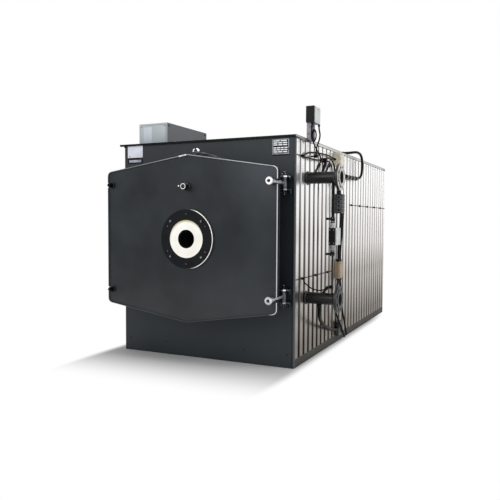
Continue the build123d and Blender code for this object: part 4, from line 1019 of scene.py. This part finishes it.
# Control box front: a steel lid with a paler band on its left, a frame line and four corner screws.
# Two flat straps lie over the housing, and two dark screws hold its right side.
box_low, box_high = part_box("control_box")
lid_paint = finish(
    "control_lid_paint", (163, 172, 177), (181, 189, 193),
    polish=(0.3, 0.45), drift=3, grain=(300, 0.2), shine=0.4,
)
pale_paint = finish(
    "control_band_paint", (188, 194, 205), (200, 206, 215),
    polish=(0.3, 0.45), drift=3, grain=(300, 0.2), shine=0.4,
)
seam_paint = finish(
    "control_seam", (96, 104, 106), (112, 118, 120),
    polish=(0.4, 0.5), drift=3, grain=(300, 0.2), shine=0.4,
)
thin_plate(
    "control_lid_seam",
    (box_low[0] + 0.014, box_low[1] - 0.001, box_low[2] + 0.014),
    (box_high[0] - 0.010, box_low[1] + 0.002, box_high[2] - 0.012),
    seam_paint,
)
thin_plate(
    "control_lid",
    (box_low[0] + 0.017, box_low[1] - 0.004, box_low[2] + 0.017),
    (box_high[0] - 0.013, box_low[1] + 0.001, box_high[2] - 0.015),
    lid_paint, 0.0015,
)
band_left, band_right = box_low[0] + 0.047, box_low[0] + 0.127
thin_plate(
    "control_lid_band",
    (band_left, box_low[1] - 0.005, box_low[2] + 0.03),
    (band_right, box_low[1] - 0.003, box_high[2] - 0.03),
    pale_paint, 0.001,
)
shape = bmesh.new()
for x in (box_low[0] + 0.026, box_high[0] - 0.022):
    for z in (box_low[2] + 0.026, box_high[2] - 0.024):
        rod(shape, (x, box_low[1] - 0.003, z), (x, box_low[1] - 0.007, z), 0.0055, 16, 0.0045)
add_piece("control_lid_screws", shape, seam_paint)
lid_left, lid_right, lid_top = box_low[0] + 0.03, box_high[0] - 0.03, box_high[2]
shape = bmesh.new()
for y in (box_low[1] + 0.05, box_high[1] - 0.05):
    block(shape, (lid_left, y - 0.015, lid_top - 0.001), (lid_right, y + 0.015, lid_top + 0.002))
add_piece("control_lid_straps", shape, seam_paint, 0.0008)
side_x, side_z = box_high[0], box_high[2] - 0.022
shape = bmesh.new()
for y in (box_low[1] + 0.026, box_high[1] - 0.034):
    rod(shape, (side_x - 0.001, y, side_z), (side_x + 0.004, y, side_z), 0.008, 16, 0.006)
add_piece("control_side_screws", shape, black_plastic)

# Boxes on the side: lids with screws, glands where leads go in, four dark plugs and ribs on the terminal box,
# and the small plates and screws of the thermostat and the pressure switch.
glands = bmesh.new()
for place, way, radius in (
    ((0.787, -0.489, 0.725), (0, 0, 0.024), 0.017),
    ((0.785, -0.441, 0.725), (0, 0, 0.024), 0.017),
    ((0.785, -0.495, 0.579), (0, 0, -0.02), 0.013),
    ((0.785, -0.423, 0.579), (0, 0, -0.02), 0.013),
    ((0.802, -0.465, 1.150), (0, 0, -0.02), 0.014),
    ((0.802, -0.429, 1.150), (0, 0, -0.02), 0.014),
    ((0.785, -0.504, 1.317), (0, 0, 0.018), 0.018),
    ((0.785, -0.475, 1.317), (0, 0, 0.018), 0.016),
    ((0.770, -0.579, 1.612), (0, -0.018, 0), 0.012),
    ((0.803, -1.122, 1.822), (0, 0, -0.016), 0.010),
    ((0.792, -1.254, 1.822), (0, 0, -0.014), 0.009),
    ((0.770, -0.447, 0.123), (0, -0.022, 0), 0.019),
    ((0.861, -1.236, 0.4505), (0, 0, -0.024), 0.019),
):
    rod(glands, place, Vector(place) + Vector(way), radius, 6, radius * 0.9)
add_piece("cable_glands", glands, black_plastic, 0.001)
shape = bmesh.new()
screws = bmesh.new()
for face, near, far, bottom, top in (
    (0.817, -0.579, -0.464, 1.556, 1.670),
    (0.800, -0.511, -0.399, 0.579, 0.725),
):
    block(shape, (face - 0.001, near + 0.006, bottom + 0.006), (face + 0.004, far - 0.006, top - 0.006))
    for y in (near + 0.016, far - 0.016):
        for z in (bottom + 0.016, top - 0.016):
            rod(screws, (face + 0.003, y, z), (face + 0.006, y, z), 0.005, 12)
add_piece("junction_lids", shape, cream_plastic, 0.002)
add_piece("junction_screws", screws, dull_steel)
term_low, term_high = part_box("terminal_box")
frame_grey = finish(
    "terminal_frame", (84, 88, 92), (110, 114, 118),
    polish=(0.35, 0.5), drift=14, grain=(400, 0.2), shine=0.4,
)
shape = bmesh.new()
plugs = bmesh.new()
left, right, front = term_low[0] + 0.020, term_high[0] - 0.008, term_low[1]
for z in (1.288, 1.252, 1.214, 1.178):
    block(shape, (left, front - 0.0015, z - 0.014), (right, front + 0.002, z + 0.014))
    block(plugs, (left + 0.005, front - 0.004, z - 0.009), (right - 0.006, front + 0.001, z + 0.009))
add_piece("terminal_frames", shape, frame_grey)
add_piece("terminal_plugs", plugs, black_plastic, 0.001)
shape = bmesh.new()
near, far = term_low[1] + 0.012, term_high[1] - 0.012
rib_step, rib_count = 0.031, 5
for rib in range(rib_count):
    z = term_low[2] + 0.020 + rib * rib_step
    block(shape, (term_high[0] - 0.001, near, z), (term_high[0] + 0.004, far, z + 0.016))
add_piece("terminal_ribs", shape, grey_plastic, 0.001)
stat_low, stat_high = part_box("thermostat_box")
thin_plate(
    "thermostat_lid",
    (stat_high[0] - 0.001, stat_low[1] + 0.010, stat_low[2] + 0.010),
    (stat_high[0] + 0.002, stat_high[1] - 0.010, stat_high[2] - 0.008),
    light_plastic, 0.001,
)
shape = bmesh.new()
block(shape, (stat_high[0] + 0.001, -1.19, 1.922), (stat_high[0] + 0.003, -1.166, 1.930))
rod(shape, (0.789, -1.240, 1.800), (0.789, -1.2435, 1.800), 0.010, 20)
add_piece("thermostat_details", shape, stud_steel, 0.0005)
shape = bmesh.new()
rod(shape, (0.775, -1.240, 1.795), (0.775, -1.247, 1.795), 0.008, 20, 0.006)
for z in (1.69, 1.745):
    rod(shape, (0.762, -1.240, z), (0.762, -1.244, z), 0.005, 6)
add_piece("thermostat_bracket_screws", shape, dull_steel, 0.0005)
switch_low, switch_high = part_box("switch_body")
thin_plate(
    "switch_side_plate",
    (switch_high[0] - 0.001, switch_low[1] + 0.012, switch_low[2] + 0.014),
    (switch_high[0] + 0.003, switch_high[1] - 0.016, switch_high[2] - 0.014),
    light_plastic, 0.001,
)
shape = bmesh.new()
for z in (switch_low[2] + 0.016, switch_high[2] - 0.016):
    for x in (switch_low[0] + 0.009, switch_high[0] - 0.009):
        rod(shape, (x, -1.260, z), (x, -1.264, z), 0.0045, 12)
add_piece("switch_screws", shape, dull_steel)

# Impulse line and roof conduit: hexagonal steel unions above and below each isolation valve, and four
# black couplings on the conduit's low run, each with a dull steel ferrule round its middle.
line_x = middle_of("impulse_lines")[0]
shape = bmesh.new()
for z in (0.826, 1.072, 0.858, 1.104):
    rod(shape, (line_x, pipe_y, z - 0.006), (line_x, pipe_y, z + 0.006), 0.0185, 6)
add_piece("valve_unions", shape, dull_steel, 0.001)
shape = bmesh.new()
rings = bmesh.new()
for start, end in (
    ((0.7795, -0.282, 1.4862), (0.7795, -0.208, 1.4866)),
    ((0.7805, -0.184, 1.4862), (0.7818, -0.112, 1.4862)),
    ((0.7845, -0.088, 1.4862), (0.7868, -0.016, 1.4864)),
    ((0.7890, 0.008, 1.4875), (0.7915, 0.070, 1.4900)),
):
    start, end = Vector(start), Vector(end)
    rod(shape, start, end, 0.0195, 24)
    rod(rings, start.lerp(end, 0.34), start.lerp(end, 0.66), 0.0202, 24)
add_piece("conduit_couplings", shape, black_plastic, 0.003)
add_piece("conduit_ferrules", rings, stud_steel, 0.002)

# Rear: a ring of sixteen bolt heads holds the collar where the flue spigot leaves the panel.
# They are dull steel, half a step off the top.
shape = bmesh.new()
flue_z = middle_of("flue_outlet")[2]
collar_circle, collar_bolts = 0.205, 16
for step in range(collar_bolts):
    turn = radians((step + 0.5) * 360 / collar_bolts)
    x, z = collar_circle * cos(turn), flue_z + collar_circle * sin(turn)
    rod(shape, (x, rear_face, z), (x, rear_face + 0.006, z), 0.009, 6)
add_piece("flue_collar_bolts", shape, dull_steel, 0.001)
